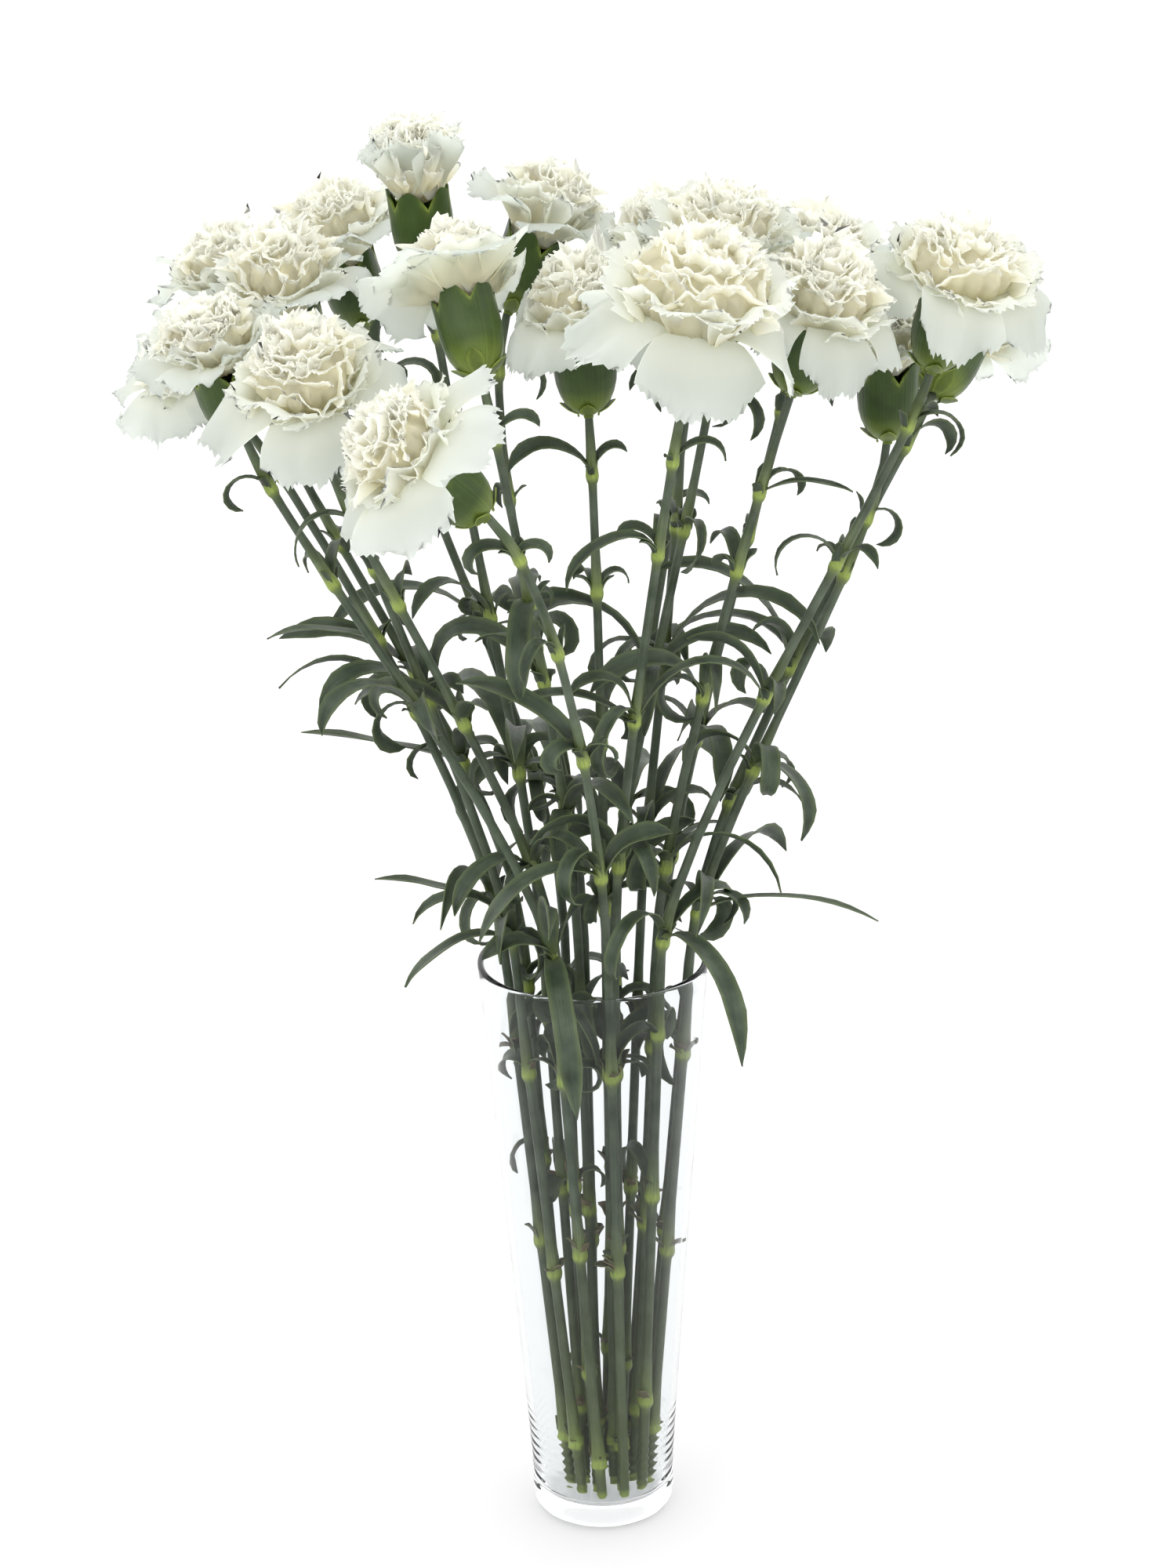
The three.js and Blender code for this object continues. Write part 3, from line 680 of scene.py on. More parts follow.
SET_LEAVES = (
    SetLeaf(18, 305, 340, 88, 2.6, 52, 52, 0.8),
    SetLeaf(17, 300, 300, 96, 4.8, 40, 125, 0.7),
    SetLeaf(8, 293, 275, 96, 4.8, 50, 125, 0.6),
    SetLeaf(6, 297, 195, 58, 4.2, 58, 85, 0.8),
    SetLeaf(7, 305, 180, 56, 3.8, 62, 18, 1),
    SetLeaf(5, 363, 190, 76, 4.4, 58, 12, 1),
    SetLeaf(7, 425, 175, 52, 3.6, 60, 40, 1.4),
    SetLeaf(10, 339, 205, 74, 4.8, 45, 115, 0.9),
    SetLeaf(18, 474, 355, 52, 2.8, 20, 165, 1),
    SetLeaf(17, 467, 185, 46, 2.6, 20, 190, 1),
    SetLeaf(18, 450, 10, 46, 2.6, 15, 190, 1.1),
    SetLeaf(18, 367, 320, 56, 4.6, 30, 160, 0.7),
    SetLeaf(3, 463, 260, 62, 4.9, 30, 152, 0.6),
    SetLeaf(12, 490, 200, 58, 3.8, 25, 150, 0.8),
    SetLeaf(12, 408, 185, 60, 3.8, 55, 60, 1.2),
    SetLeaf(15, 367, 300, 66, 4.6, 25, 165, 0.8),
    SetLeaf(16, 505, 340, 44, 2.6, 55, 50, 1.2),
    SetLeaf(9, 505, 180, 44, 2.6, 40, 150, 0.8),
)


@dataclass
class VaseShape:
    """The vase's sizes, and the test that keeps the lines of leaves off its wall."""

    height: float = 280
    foot_radius: float = 33.4
    rim_radius: float = 53.2
    wall: float = 2.9
    floor: float = 10
    stand_radius: float = 27
    waist_height: float = 26
    gap: float = 0.3

    def outer(self, height: Rows | float) -> Rows | float:
        """The wall's outer radius at a height."""
        slope = (self.rim_radius - self.foot_radius) / (self.height - self.waist_height)
        return self.foot_radius + slope * np.maximum(height - self.waist_height, 0)

    def inner(self, height: Rows | float) -> Rows | float:
        """The wall's inner radius at a height."""
        return self.outer(height) - self.wall

    def clear(self, points: Rows, reach: float) -> bool:
        """True if every point keeps this far from the wall and the floor."""
        r = np.hypot(points[:, 0], points[:, 1])
        z = points[:, 2]
        above = z > self.height + reach
        outside = r > self.outer(np.minimum(z, self.height)) + reach
        inside = (r < self.inner(z) - reach) & (z > self.floor + reach)
        return bool(np.all(above | outside | inside))


@dataclass
class Arrangement:
    """How the twenty stems share the vase: three rings, filled in order round."""

    vase: VaseShape
    rings: tuple[Ring, ...] = (Ring(11, 43.2, 18.6), Ring(6, 26.5, 11.4), Ring(3, 9.6, 4.5))
    twist: float = 16
    aside: float = 3
    straight_to: float = 286
    neck: float = 36
    spacing: float = 48
    spacing_growth: float = 9
    lowest_joint: float = 18
    below_rim: float = 6
    rim_band: float = 16
    rim_drop: float = 30

    def stems(self) -> list[StemLine]:
        """Runs every stem from its calyx to its place in the vase.

        Returns:
            The stems, in the order of HEADS.
        """
        waiting = sorted(enumerate(HEADS), key=lambda pair: -math.hypot(*pair[1].at[:2]))
        lines = []
        for ring in self.rings:
            members = sorted(waiting[:ring.count], key=lambda pair: pair[1].angle)
            waiting = waiting[ring.count:]
            step = 2 * math.pi / ring.count
            start = sum(head.angle - k * step for k, (_, head) in enumerate(members)) / ring.count
            for k, (index, head) in enumerate(members):
                lines.append(self.run(index, head, ring, start + k * step))
        return sorted(lines, key=lambda line: line.index)

    def around(self, radius: float, angle: float, height: float) -> Rows:
        """Gives a place on a circle round the bunch's middle."""
        return np.array([self.aside + radius * math.cos(angle), radius * math.sin(angle), height])

    def run(self, index: int, head: Head, ring: Ring, angle: float) -> StemLine:
        """Runs one stem and finds its joints."""
        lift = self.vase.floor + 2 * self.vase.gap
        foot = self.around(ring.foot, angle + math.radians(self.twist), lift)
        rise = unit(self.around(ring.rim, angle, self.vase.height) - foot)
        bend = foot + rise * (self.straight_to - lift) / rise[2]
        line = StemLine(index, head, foot, rise, bend)
        line.joints = self.joints(line)
        return line

    def joints(self, line: StemLine) -> list[float]:
        """Spaces a stem's joints down from its calyx, and moves some to the listed leaves."""
        dice = Dice(JOINT_SEED + line.index)
        joints: list[float] = []
        along = line.length - self.neck * dice.between(0.75, 1.1)
        while along > self.lowest_joint:
            if abs(line.points(along)[0, 2] - self.vase.height + self.below_rim) < self.rim_band:
                along -= self.rim_drop
            joints.append(along)
            along -= (self.spacing + self.spacing_growth * len(joints)) * dice.between(0.88, 1.14)
        for leaf in SET_LEAVES:
            if leaf.stem == line.index + 1:
                heights = line.points(np.array(joints))[:, 2]
                nearest = int(np.argmin(np.abs(heights - leaf.height)))
                joints[nearest] = line.rise_to(leaf.height)
        return joints


# Leaves.
@dataclass(frozen=True)
class LeafForm:
    """A leaf's shape: the way it points, its size, and how it bends; angles are in radians."""

    turn: float
    length: float
    half_width: float
    start: float
    curl: float
    late: float
    swing: float = 0.0
    roll: float = 0.0
    dry: float = 0.0


@dataclass(frozen=True)
class Leaf:
    """A leaf on its stem."""

    form: LeafForm
    owner: int
    along: float
    root: Rows
    up: Rows
    out: Rows
    across: Rows

    @classmethod
    def on(cls, stem: StemLine, along: float, form: LeafForm, above: float = 2.5) -> Leaf:
        """Places a leaf just above a joint."""
        point, ahead, _, _ = (rows[0] for rows in stem.frames(along + above))
        up = unit(ahead + UP)
        out = np.array([math.cos(form.turn), math.sin(form.turn), 0.0])
        out = unit(out - up * out.dot(up))
        return cls(form, stem.index, along, point, up, out, np.cross(up, out))

    def line(self, steps: int = 7) -> Rows:
        """Gives the leaf's middle line, from its root to its tip."""
        share = (np.arange(steps) + 0.5) / steps
        angle = (self.form.start + self.form.curl * share**self.form.late)[:, None]
        heading = self.up * np.cos(angle) + self.out * np.sin(angle)
        heading = heading + self.across * self.form.swing * share[:, None]
        travel = np.cumsum(heading * self.form.length / steps, axis=0)
        return np.vstack([self.root, self.root + travel])

    def samples(self) -> Rows:
        """Gives points along the straight runs of the solid leaf, for testing what it meets."""
        stations = (0, 1, 3, 5, 7) if self.form.length > 50 else (0, 2, 4, 7)
        line = self.line()[list(stations)]
        shares = np.array([0.15, 0.3, 0.45, 0.6, 0.8, 1])[None, :, None]
        return (line[:-1, None] * (1 - shares) + line[1:, None] * shares).reshape(-1, 3)


class Obstacles:
    """What leaves turn away from, as balls: stems, cups, blooms and the leaves already grown."""

    def __init__(self, stems: list[StemLine]) -> None:
        """Fills the space that the stems and their heads take."""
        self.rows: list[Rows] = []
        for stem in stems:
            along = np.arange(0, stem.length, 6)
            self.add(stem.index, along, stem.points(along), 4)
            heights = np.array([10, 20, 30])
            cup = stem.base + stem.axis * heights[:, None]
            self.add(stem.index, stem.length + heights, cup, 14)
            top = np.array([stem.length + BLOOM_CENTRE])
            self.add(stem.index, top, stem.middle[None], stem.head.size / 2 + 2)

    def add(self, owner: int, along: Rows, centres: Rows, radius: float) -> None:
        """Adds balls of one radius, each at its distance along its owner."""
        size = len(centres)
        same = np.column_stack([np.full(size, owner), along, np.full(size, radius)])
        self.rows.append(np.hstack([centres, same]))

    def keep(self, leaf: Leaf) -> None:
        """Adds a leaf that has grown."""
        line = leaf.line()[1:]
        self.add(-1, np.zeros(len(line)), line, leaf.form.half_width)

    def clear(self, leaf: Leaf, slack: float, crowding: float) -> bool:
        """Tells whether a leaf has room.

        Args:
            leaf: The leaf to try.
            slack: What it keeps to spare beyond its half width.
            crowding: How much of their radius the balls of other leaves keep.

        Returns:
            True if it meets no ball.
        """
        balls = np.vstack(self.rows)
        balls[balls[:, 3] < 0, 5] *= crowding
        own = (balls[:, 3] == leaf.owner) & (np.abs(balls[:, 4] - leaf.along) < 22)
        balls = balls[~own]
        gaps = np.linalg.norm(leaf.samples()[:, None] - balls[None, :, :3], axis=2)
        return bool(np.all(gaps >= balls[:, 5] + leaf.form.half_width + slack))


@dataclass
class Foliage:
    """Grows every leaf: those listed one by one, the pairs by rule, and finer ones between them.

    The finer ones see other leaves at a tenth of their width, so some of them cross.
    """

    vase: VaseShape
    hook_joints: int = 2
    hook_share: float = 0.58
    long_share: float = 0.9
    lowest: float = 205
    fine_lowest: float = 155
    sparse_above: float = 390
    attempts: int = 14
    turn_step: float = 0.23
    trim: float = 0.045
    clearance: float = 0.9
    fine_clearance: float = 0.1
    fine_crowding: float = 0.1

    def grow(self, stems: list[StemLine]) -> list[Leaf]:
        """Grows the leaves of the whole bunch.

        Args:
            stems: Where the stems run.

        Returns:
            Every leaf that found room.
        """
        balls = Obstacles(stems)
        leaves: list[Leaf] = []
        for leaf in SET_LEAVES:
            form = LeafForm(math.radians(leaf.turn), leaf.length, leaf.half_width,
                            math.radians(leaf.start), math.radians(leaf.curl), leaf.late)
            stem = stems[leaf.stem - 1]
            self.fit(stem, stem.rise_to(leaf.height), form, balls, leaves, self.clearance)
        for stem in stems:
            for along, form in self.pairs(stem, Dice(PAIR_SEED + stem.index)):
                self.fit(stem, along, form, balls, leaves, self.clearance)
        for stem in stems:
            for along, form in self.fillers(stem, Dice(FILLER_SEED + stem.index)):
                self.fit(stem, along, form, balls, leaves, self.fine_clearance,
                         self.fine_crowding)
        return leaves

    def pairs(self, stem: StemLine, dice: Dice) -> Iterator[tuple[float, LeafForm]]:
        """Draws an opposite pair at every joint that kept its leaves, hooks at the upper ones."""
        for order, along in enumerate(stem.joints):
            hook = order < self.hook_joints
            likely = self.hook_share if hook else self.long_share
            lengths, widths = ((24, 50), (2.2, 3.2)) if hook else ((56, 112), (3.2, 4.8))
            start, curls = (30, (120, 250)) if hook else (24, (70, 165))
            cross = order * math.pi / 2 + math.radians(dice.between(-30, 30))
            for side in (0, 1):
                grows = dice.next() < likely
                form = LeafForm(
                    cross + side * math.pi, dice.between(*lengths), dice.between(*widths),
                    math.radians(start), math.radians(dice.between(*curls)), dice.between(0.9, 1.7),
                    swing=dice.between(-0.35, 0.35), roll=1.6 * math.sin(37 * along))
                if grows and stem.points(along)[0, 2] > self.lowest:
                    yield along, form

    def fillers(self, stem: StemLine, dice: Dice) -> Iterator[tuple[float, LeafForm]]:
        """Draws slimmer, shorter leaves for the gaps that the pairs leave."""
        for order, along in enumerate(stem.joints):
            height = stem.points(along)[0, 2]
            hook = order < self.hook_joints
            lengths, widths = ((20, 40), (1.9, 2.8)) if hook else ((38, 80), (2.8, 4.2))
            for side in range(1 if hook else 2 if height > self.sparse_above else 4):
                form = LeafForm(
                    (order + side) * math.pi / 2 + dice.between(-0.6, 0.6), dice.between(*lengths),
                    dice.between(*widths), math.radians(dice.between(8, 26)),
                    math.radians(dice.between(120, 290)), dice.between(0.8, 1.6),
                    swing=dice.between(-0.3, 0.3), roll=dice.between(-1.8, 1.8))
                if height > self.fine_lowest:
                    yield along, form

    def fit(self, stem: StemLine, along: float, form: LeafForm, balls: Obstacles,
            leaves: list[Leaf], slack: float, crowding: float = 1) -> None:
        """Turns and shortens a leaf until its samples clear the vase and balls, or gives it up."""
        for attempt in range(self.attempts):
            aside = (1 if attempt % 2 == 0 else -1) * math.ceil(attempt / 2) * self.turn_step
            tried = replace(form, turn=form.turn + aside,
                            length=form.length * (1 - self.trim * attempt))
            leaf = Leaf.on(stem, along, tried)
            reach = tried.half_width + slack
            if self.vase.clear(leaf.samples(), reach) and balls.clear(leaf, slack, crowding):
                leaves.append(leaf)
                balls.keep(leaf)
                return


# Glass.
@dataclass
class GlassVase:
    """The clear vase: a cone with a rounded rim, a thick foot and faint rings from its pressing."""

    shape: VaseShape
    finish: ClearFinish = ClearFinish("vase_glass", (0.930, 0.945, 0.952), 1.24, (0.0, 0.004), 0.05)
    sides: int = 96
    lip_steps: int = 6
    ring_depth: float = 0.22
    ring_pitch: float = 4.4
    ringed_from: float = 9
    ringed_to: float = 56

    def build(self) -> Piece:
        """Turns the vase and dresses it."""
        vase = turned("glass_vase", self.profile(), self.sides)
        shade(vase, 50)
        vase.data.materials.append(self.finish.material())
        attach(vase, "root")
        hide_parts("vase")
        return vase

    def pressed(self, height: float) -> float:
        """How far the pressing rings stand out at a height."""
        if not self.ringed_from < height < self.ringed_to:
            return 0.0
        share = (height - self.ringed_from) / (self.ringed_to - self.ringed_from)
        depth = self.ring_depth * math.sin(math.pi * share)
        return depth * math.sin(math.tau * height / self.ring_pitch)

    def profile(self) -> list[Pair]:
        """Works out the rings of the vase's outline.

        Returns:
            Radius and height of each ring, out from the underside, over the rim and down inside.
        """
        shape = self.shape
        quarter = [math.pi / 2 * k / 6 for k in range(1, 7)]
        foot = [(shape.stand_radius - 1.5, 0.0), (shape.stand_radius, 0.0)]
        foot += [(lerp(shape.stand_radius, shape.foot_radius, math.sin(angle)),
                  self.ringed_from * (1 - math.cos(angle))) for angle in quarter]
        heights = np.arange(self.ringed_from + 1.1, self.ringed_to, 1.1)
        ringed = [(float(shape.outer(z)) + self.pressed(z), float(z)) for z in heights]
        plain = [(float(shape.outer(z)), float(z))
                 for z in np.linspace(self.ringed_to + 4, shape.height - 6, 12)]
        lip = shape.wall / 2
        middle = float(shape.outer(shape.height)) - lip
        rim = [(middle + lip * math.cos(angle), shape.height - lip + lip * math.sin(angle))
               for angle in np.linspace(0, math.pi, self.lip_steps * 2 + 1)]
        inside = [(float(shape.inner(z)), float(z))
                  for z in np.linspace(shape.height - 6, shape.floor + 13, 13)]
        edge = float(shape.inner(0))
        corner = [(edge, shape.floor + 9.0)]
        corner += [(edge - 8 * (1 - math.cos(angle)), shape.floor + 9 * (1 - math.sin(angle)))
                   for angle in quarter]
        corner.append((6.0, shape.floor))
        return foot + ringed + plain + rim + inside + corner


# Greens.
class Green(Enum):
    """The finishes of a flower's green parts, by their place in the piece's list."""

    STALK = 0
    LEAF = 1
    CUP = 2


# Each finish's fourth colour is its aged colour low down, partly painted light from the white floor.
GREEN_FINISHES = {
    Green.STALK: GreenFinish(
        "carnation_stalk", (0.022, 0.036, 0.017), (0.124, 0.154, 0.108), (0.270, 0.350, 0.075),
        (0.105, 0.134, 0.036), (0.17, 0.12, 0.06), (14, 40)),
    Green.LEAF: GreenFinish(
        "carnation_leaf", (0.012, 0.022, 0.010), (0.092, 0.121, 0.079), (0.210, 0.275, 0.085),
        (0.085, 0.105, 0.045), (0.20, 0.15, 0.08), (26, 3)),
    Green.CUP: GreenFinish(
        "carnation_calyx", (0.018, 0.040, 0.004), (0.056, 0.096, 0.017), (0.250, 0.330, 0.050),
        (0.085, 0.115, 0.040), (0.2, 0.17, 0.08), (60, 3), (0.28, 0.42)),
}
# Below these heights the green takes its aged colour, partly painted light from the white floor.
AGED_AND_FLOOR_LIT_BELOW = (30, 190)


def age(height: Rows) -> Rows:
    """How aged the green looks at heights above the vase's foot, partly older tone, partly painted
    floor light.
    """
    return 1 - smooth(height, *AGED_AND_FLOOR_LIT_BELOW)


@dataclass
class Stalk:
    """A bare stem: a round rod that swells above every joint, where the leaves sheathe it."""

    line: StemLine
    low_radius: float = 2.5
    top_radius: float = 1.9
    foot_taper: float = 0.86
    into_cup: float = 2
    least_step: float = 0.7
    sides: int = 10
    swelling: tuple[Pair, ...] = (
        (-8, 1.0), (-3.2, 1.06), (-1.4, 1.42), (0.4, 1.6), (2.4, 1.52), (6, 1.34), (13, 1.2), (27, 1.0))

    def radius(self, along: Rows) -> Rows:
        """The stem's radius at distances from its foot."""
        plain = lerp(self.low_radius, self.top_radius, along / self.line.length)
        offsets, factors = zip(*self.swelling)
        swell = np.ones_like(along)
        for joint in self.line.joints:
            swell = np.maximum(swell, np.interp(along - joint, offsets, factors))
        return plain * swell

    def stations(self) -> Rows:
        """Distances of the rings from the foot: a few near every joint, others between."""
        end = self.line.length + self.into_cup
        marks = [0.0, 0.8, end]
        marks += [joint + offset for joint in self.line.joints for offset, _ in self.swelling]
        marks += list(np.linspace(6, end - 4, 18))
        marks = sorted(mark for mark in marks if 0 <= mark <= end)
        kept = [marks[0]]
        for mark in marks[1:]:
            if mark - kept[-1] > self.least_step:
                kept.append(mark)
        return np.array(kept)

    def build(self) -> Piece:
        """Lays a column along the stem.

        Returns:
            The stem, with its pale and aged places painted on; the aged colour is partly painted floor
            light.
        """
        along = self.stations()
        stalk = column(f"stalk_{self.line.index + 1:02d}", len(along), self.sides)
        blank_points = places(stalk)
        row = np.rint(blank_points[:, 2] * (len(along) - 1)).astype(int)
        point, ahead, side, front = self.line.frames(np.minimum(along, self.line.length))
        beyond = np.maximum(along - self.line.length, 0)[:, None]
        point = point + ahead * beyond
        radius = self.radius(along)
        radius[0] *= self.foot_taper
        spoke = side[row] * blank_points[:, :1] + front[row] * blank_points[:, 1:2]
        points = point[row] + radius[row][:, None] * spoke
        move_to(stalk, points)
        with editing(stalk):
            bpy.ops.mesh.normals_make_consistent(inside=False)
        away = np.full(len(along), 99.0)
        for joint in self.line.joints:
            gap = along - joint
            away = np.minimum(away, np.where(gap < 0, -gap * 4, gap))
        pale = 0.75 * (1 - smooth(away, 1, 8)) + 0.2 * (1 - smooth(away, 4, 30))
        pale = np.maximum(pale, 0.9 * (along < 1))
        # How much aged colour each stem takes; low down it is partly painted light from the white
        # floor.
        weathered_and_floor_lit = Dice(AGE_AND_FLOOR_LIGHT_SEED + self.line.index).between(0.35, 1.25)
        aged = np.clip(age(points[:, 2]) * weathered_and_floor_lit, 0, 1)
        paint(stalk, pale=pale[row], aged=aged, dry=0)
        return stalk


@dataclass
class Cup:
    """The calyx: a ribbed cup with five blunt lobes, and short scales round its foot."""

    length: float = 33
    radius: float = 13.8
    lobe: float = 8.5
    lip_drop: float = 2.5
    lobe_flare: float = 0.05
    rib_depth: float = 0.012
    rib_count: int = 20
    wall: float = 0.9
    sides: int = 40
    lobes: int = 5
    scales: int = 4
    outline: tuple[Pair, ...] = (
        (0.20, -0.01), (0.34, 0.01), (0.56, 0.07), (0.74, 0.16), (0.87, 0.28), (0.955, 0.42),
        (1.0, 0.60), (1.0, 0.78), (0.985, 0.91), (0.985, 1.0))

    def radius_at(self, height: Rows) -> Rows:
        """The cup's outer radius at heights above its foot."""
        wide, high = zip(*self.outline)
        return np.interp(height / self.length, high, wide) * self.radius

    def pattern(self) -> Piece:
        """Models the cup once, upright with its foot at zero, to be copied to every stem.

        Returns:
            The pattern, with its paleness painted on.
        """
        outer = [(wide * self.radius, high * self.length) for wide, high in self.outline]
        inner = [(wide * self.radius - self.wall, high * self.length)
                 for wide, high in reversed(self.outline[5:])]
        cup = turned("calyx_pattern", outer + inner, self.sides)
        points = places(cup) / MM
        angle = np.arctan2(points[:, 1], points[:, 0])
        wave = 0.5 + 0.5 * np.cos(self.lobes * angle)
        share = np.clip(points[:, 2] / self.length, 0, 1)
        top = smooth(share, 0.80, 1.0)
        points[:, 2] += top * (self.lobe * np.sqrt(wave) - self.lip_drop)
        ribs = self.rib_depth * np.cos(self.rib_count * angle) * smooth(share, 0.1, 0.4)
        flare = 1 + top * self.lobe_flare * wave + ribs
        points[:, :2] *= flare[:, None]
        move_to(cup, points)
        edge = smooth(share, 0.88, 1.0) * (1 - wave) ** 4
        foot = 1 - smooth(share, 0.06, 0.5)
        paint(cup, pale=np.clip(0.8 * edge + 0.5 * foot, 0, 1), aged=0, dry=0)
        cup.hide_render = True
        return cup

    def scale_points(self, shape: Rows, order: int) -> Rows:
        """Lays a short pointed scale against the foot of the cup.

        Args:
            shape: The flat blank's points.
            order: Which scale round the foot it is.

        Returns:
            The scale's points, in the cup's own frame.
        """
        across, along = shape[:, 0], shape[:, 1]
        reach = 6.5 if order % 2 == 0 else 9.5
        height = -1.5 + along * reach
        spread = 0.62 * (1 - along**1.6) * (0.75 + 0.5 * along)
        angle = order * math.tau / self.scales + across * spread
        flare = 0.7 + 0.3 * (order % 2 == 0) + 1.3 * along**3
        radius = self.radius_at(np.maximum(height, 0)) + flare
        return np.column_stack([radius * np.cos(angle), radius * np.sin(angle), height])


@dataclass
class Blades:
    """Bends copies of one flat blank into leaves, stubs and scales."""

    pattern: Piece
    thickness: float = 0.55

    def __post_init__(self) -> None:
        """Reads the flat blank."""
        self.flat = places(self.pattern)

    def leaf(self, leaf: Leaf, name: str) -> Piece:
        """Bends a copy into a keeled leaf along its middle line, turning as it goes.

        Args:
            leaf: The leaf on its stem.
            name: The new object's name.

        Returns:
            The leaf, with its pale, aged and dry places painted on; the aged colour is partly painted
            floor light.
        """
        steps = 24
        line = leaf.line(steps)
        share = self.flat[:, 1]
        grid = np.linspace(0, 1, steps + 1)
        middle = np.column_stack([np.interp(share, grid, line[:, k]) for k in range(3)])
        ahead = np.gradient(line, axis=0)
        ahead /= np.linalg.norm(ahead, axis=1)[:, None]
        ahead = np.column_stack([np.interp(share, grid, ahead[:, k]) for k in range(3)])
        side = leaf.across - ahead * (ahead @ leaf.across)[:, None]
        side /= np.linalg.norm(side, axis=1)[:, None]
        above = np.cross(ahead, side)
        roll = (leaf.form.roll * share**1.3)[:, None]
        side, above = (side * np.cos(roll) + above * np.sin(roll),
                       above * np.cos(roll) - side * np.sin(roll))
        spread = (0.46 + 2.3 * share) * (1 - share**2.2) + 0.02
        wide = 1.05 * leaf.form.half_width * np.minimum(spread, 1.05) * self.flat[:, 0]
        keel = 0.3 * np.abs(wide) - 0.2 * leaf.form.half_width * (1 - share)
        wave = 0.16 * leaf.form.half_width * np.sin(9 * share + leaf.along) * self.flat[:, 0] ** 2
        points = middle + side * wide[:, None] + above * (keel + wave)[:, None]
        piece = copy_of(self.pattern, name)
        move_to(piece, points)
        edge = 0.22 * smooth(np.abs(self.flat[:, 0]), 0.6, 1.0)
        pale = np.maximum(0.7 * (1 - smooth(share, 0, 0.14)), edge)
        # The aged colour low on the leaf is partly painted light from the white floor.
        paint(piece, pale=pale, aged=age(points[:, 2]), dry=leaf.form.dry)
        return piece


# Blooms.
PHASES = (0, 6)
KNOTS = (0, 0.35, 0.7, 1)
LINE_STEPS = 48
MIDDLES = (np.arange(LINE_STEPS) + 0.5) / LINE_STEPS
CORE_OUTLINE = (
    (0.35, 0.0), (0.55, 0.12), (0.75, 0.32), (0.9, 0.54), (0.95, 0.7), (0.86, 0.83), (0.64, 0.93),
    (0.32, 0.985), (0.05, 1.0))


@dataclass(frozen=True)
class Petal:
    """One petal's form: its middle line, its width, and how its blade folds and frays.

    The root is how far out and how high the claw springs; the slopes are the middle line's, in
    degrees, at the shares of its length in KNOTS.
    """

    turn: float
    root: Pair
    length: float
    slopes: Slopes
    half_width: float
    ruffle: float
    waves: float
    pleat: float
    pleats: float
    fold: float
    phase: float
    tooth: float
    slits: int
    warm: float
    lean: float
    guarding: float

    def reach(self, share: Rows) -> tuple[Rows, Rows, Rows]:
        """Gives how far out, how high and how steep the middle line is at shares of its length."""
        slope = np.radians(np.interp(MIDDLES, KNOTS, self.slopes))
        out = np.concatenate([[0], np.cumsum(np.cos(slope))]) * self.length / LINE_STEPS
        up = np.concatenate([[0], np.cumsum(np.sin(slope))]) * self.length / LINE_STEPS
        grid = np.linspace(0, 1, LINE_STEPS + 1)
        steep = np.radians(np.interp(share, KNOTS, self.slopes))
        reach, rise = np.interp(share, grid, out), np.interp(share, grid, up)
        return self.root[0] + reach, self.root[1] + rise, steep

    def fray(self, across: Rows, draws: np.random.Generator) -> Rows:
        """Gives how far the edge falls short, in millimetres, at places across it.

        Args:
            across: Where on the edge, from -1 to 1.
            draws: Where the teeth get their uneven lengths.

        Returns:
            Pointed teeth, uneven lobes and a few deeper slits.
        """
        order = np.argsort(across)
        rank = np.empty(order.size)
        rank[order] = np.arange(order.size)
        long, short = draws.uniform(0.5, 1, order.size), draws.uniform(0, 0.25, order.size)
        teeth = np.where(rank % 2 == 1, long, short)
        lobes = 0.5 + 0.5 * np.sin(across * draws.uniform(7, 11) + draws.uniform(0, 6))
        depth = self.tooth * (teeth + 0.8 * lobes**2)
        for place in draws.uniform(-0.8, 0.8, self.slits):
            depth = depth + draws.uniform(1.5, 3) * np.exp(-((across - place) / 0.04) ** 2)
        return np.minimum(depth, 0.95 * self.length / 9)

    def points(self, flat: Rows, draws: np.random.Generator) -> Rows:
        """Bends the flat blank's points into this petal, in the bloom's own frame.

        Args:
            flat: The blank's points.
            draws: Where the uneven sizes are drawn.

        Returns:
            The petal's points, in millimetres, with the calyx foot at zero.
        """
        across, along = flat[:, 0], flat[:, 1]
        margin = along > PATTERN_EDGE
        share = along * (1 - 0.27 * across**2 * along)
        share[margin] -= self.fray(across[margin], draws) / self.length
        x = across * self.half_width * (0.2 + 0.8 * np.sin(math.pi / 2 * along) ** 0.9)
        r, z, steep = self.reach(share)
        out = 0.55 + 0.45 * across**2
        frill = self.ruffle * smooth(along, 0.3, 1.0) * out * np.sin(
            math.pi * self.waves * across + self.phase + 1.4 * along)
        frill += 0.36 * self.ruffle * smooth(along, 0.6, 1.0) * np.sin(
            math.pi * 1.9 * self.waves * across + 2.3 * self.phase)
        frill[margin] += 0.26 * self.ruffle * draws.uniform(-1, 1, int(margin.sum()))
        frill += self.pleat * smooth(along, 0.08, 0.4) * (1 - 0.4 * along) * np.sin(
            math.pi * self.pleats * across + 1.7 * self.phase)
        normal = frill + self.fold * np.abs(x) * smooth(along, 0.1, 0.6) + self.lean * x * along
        r = r - np.sin(steep) * normal
        z = z + np.cos(steep) * normal
        cos, sin = math.cos(self.turn), math.sin(self.turn)
        return np.column_stack([r * cos - x * sin, r * sin + x * cos, z])


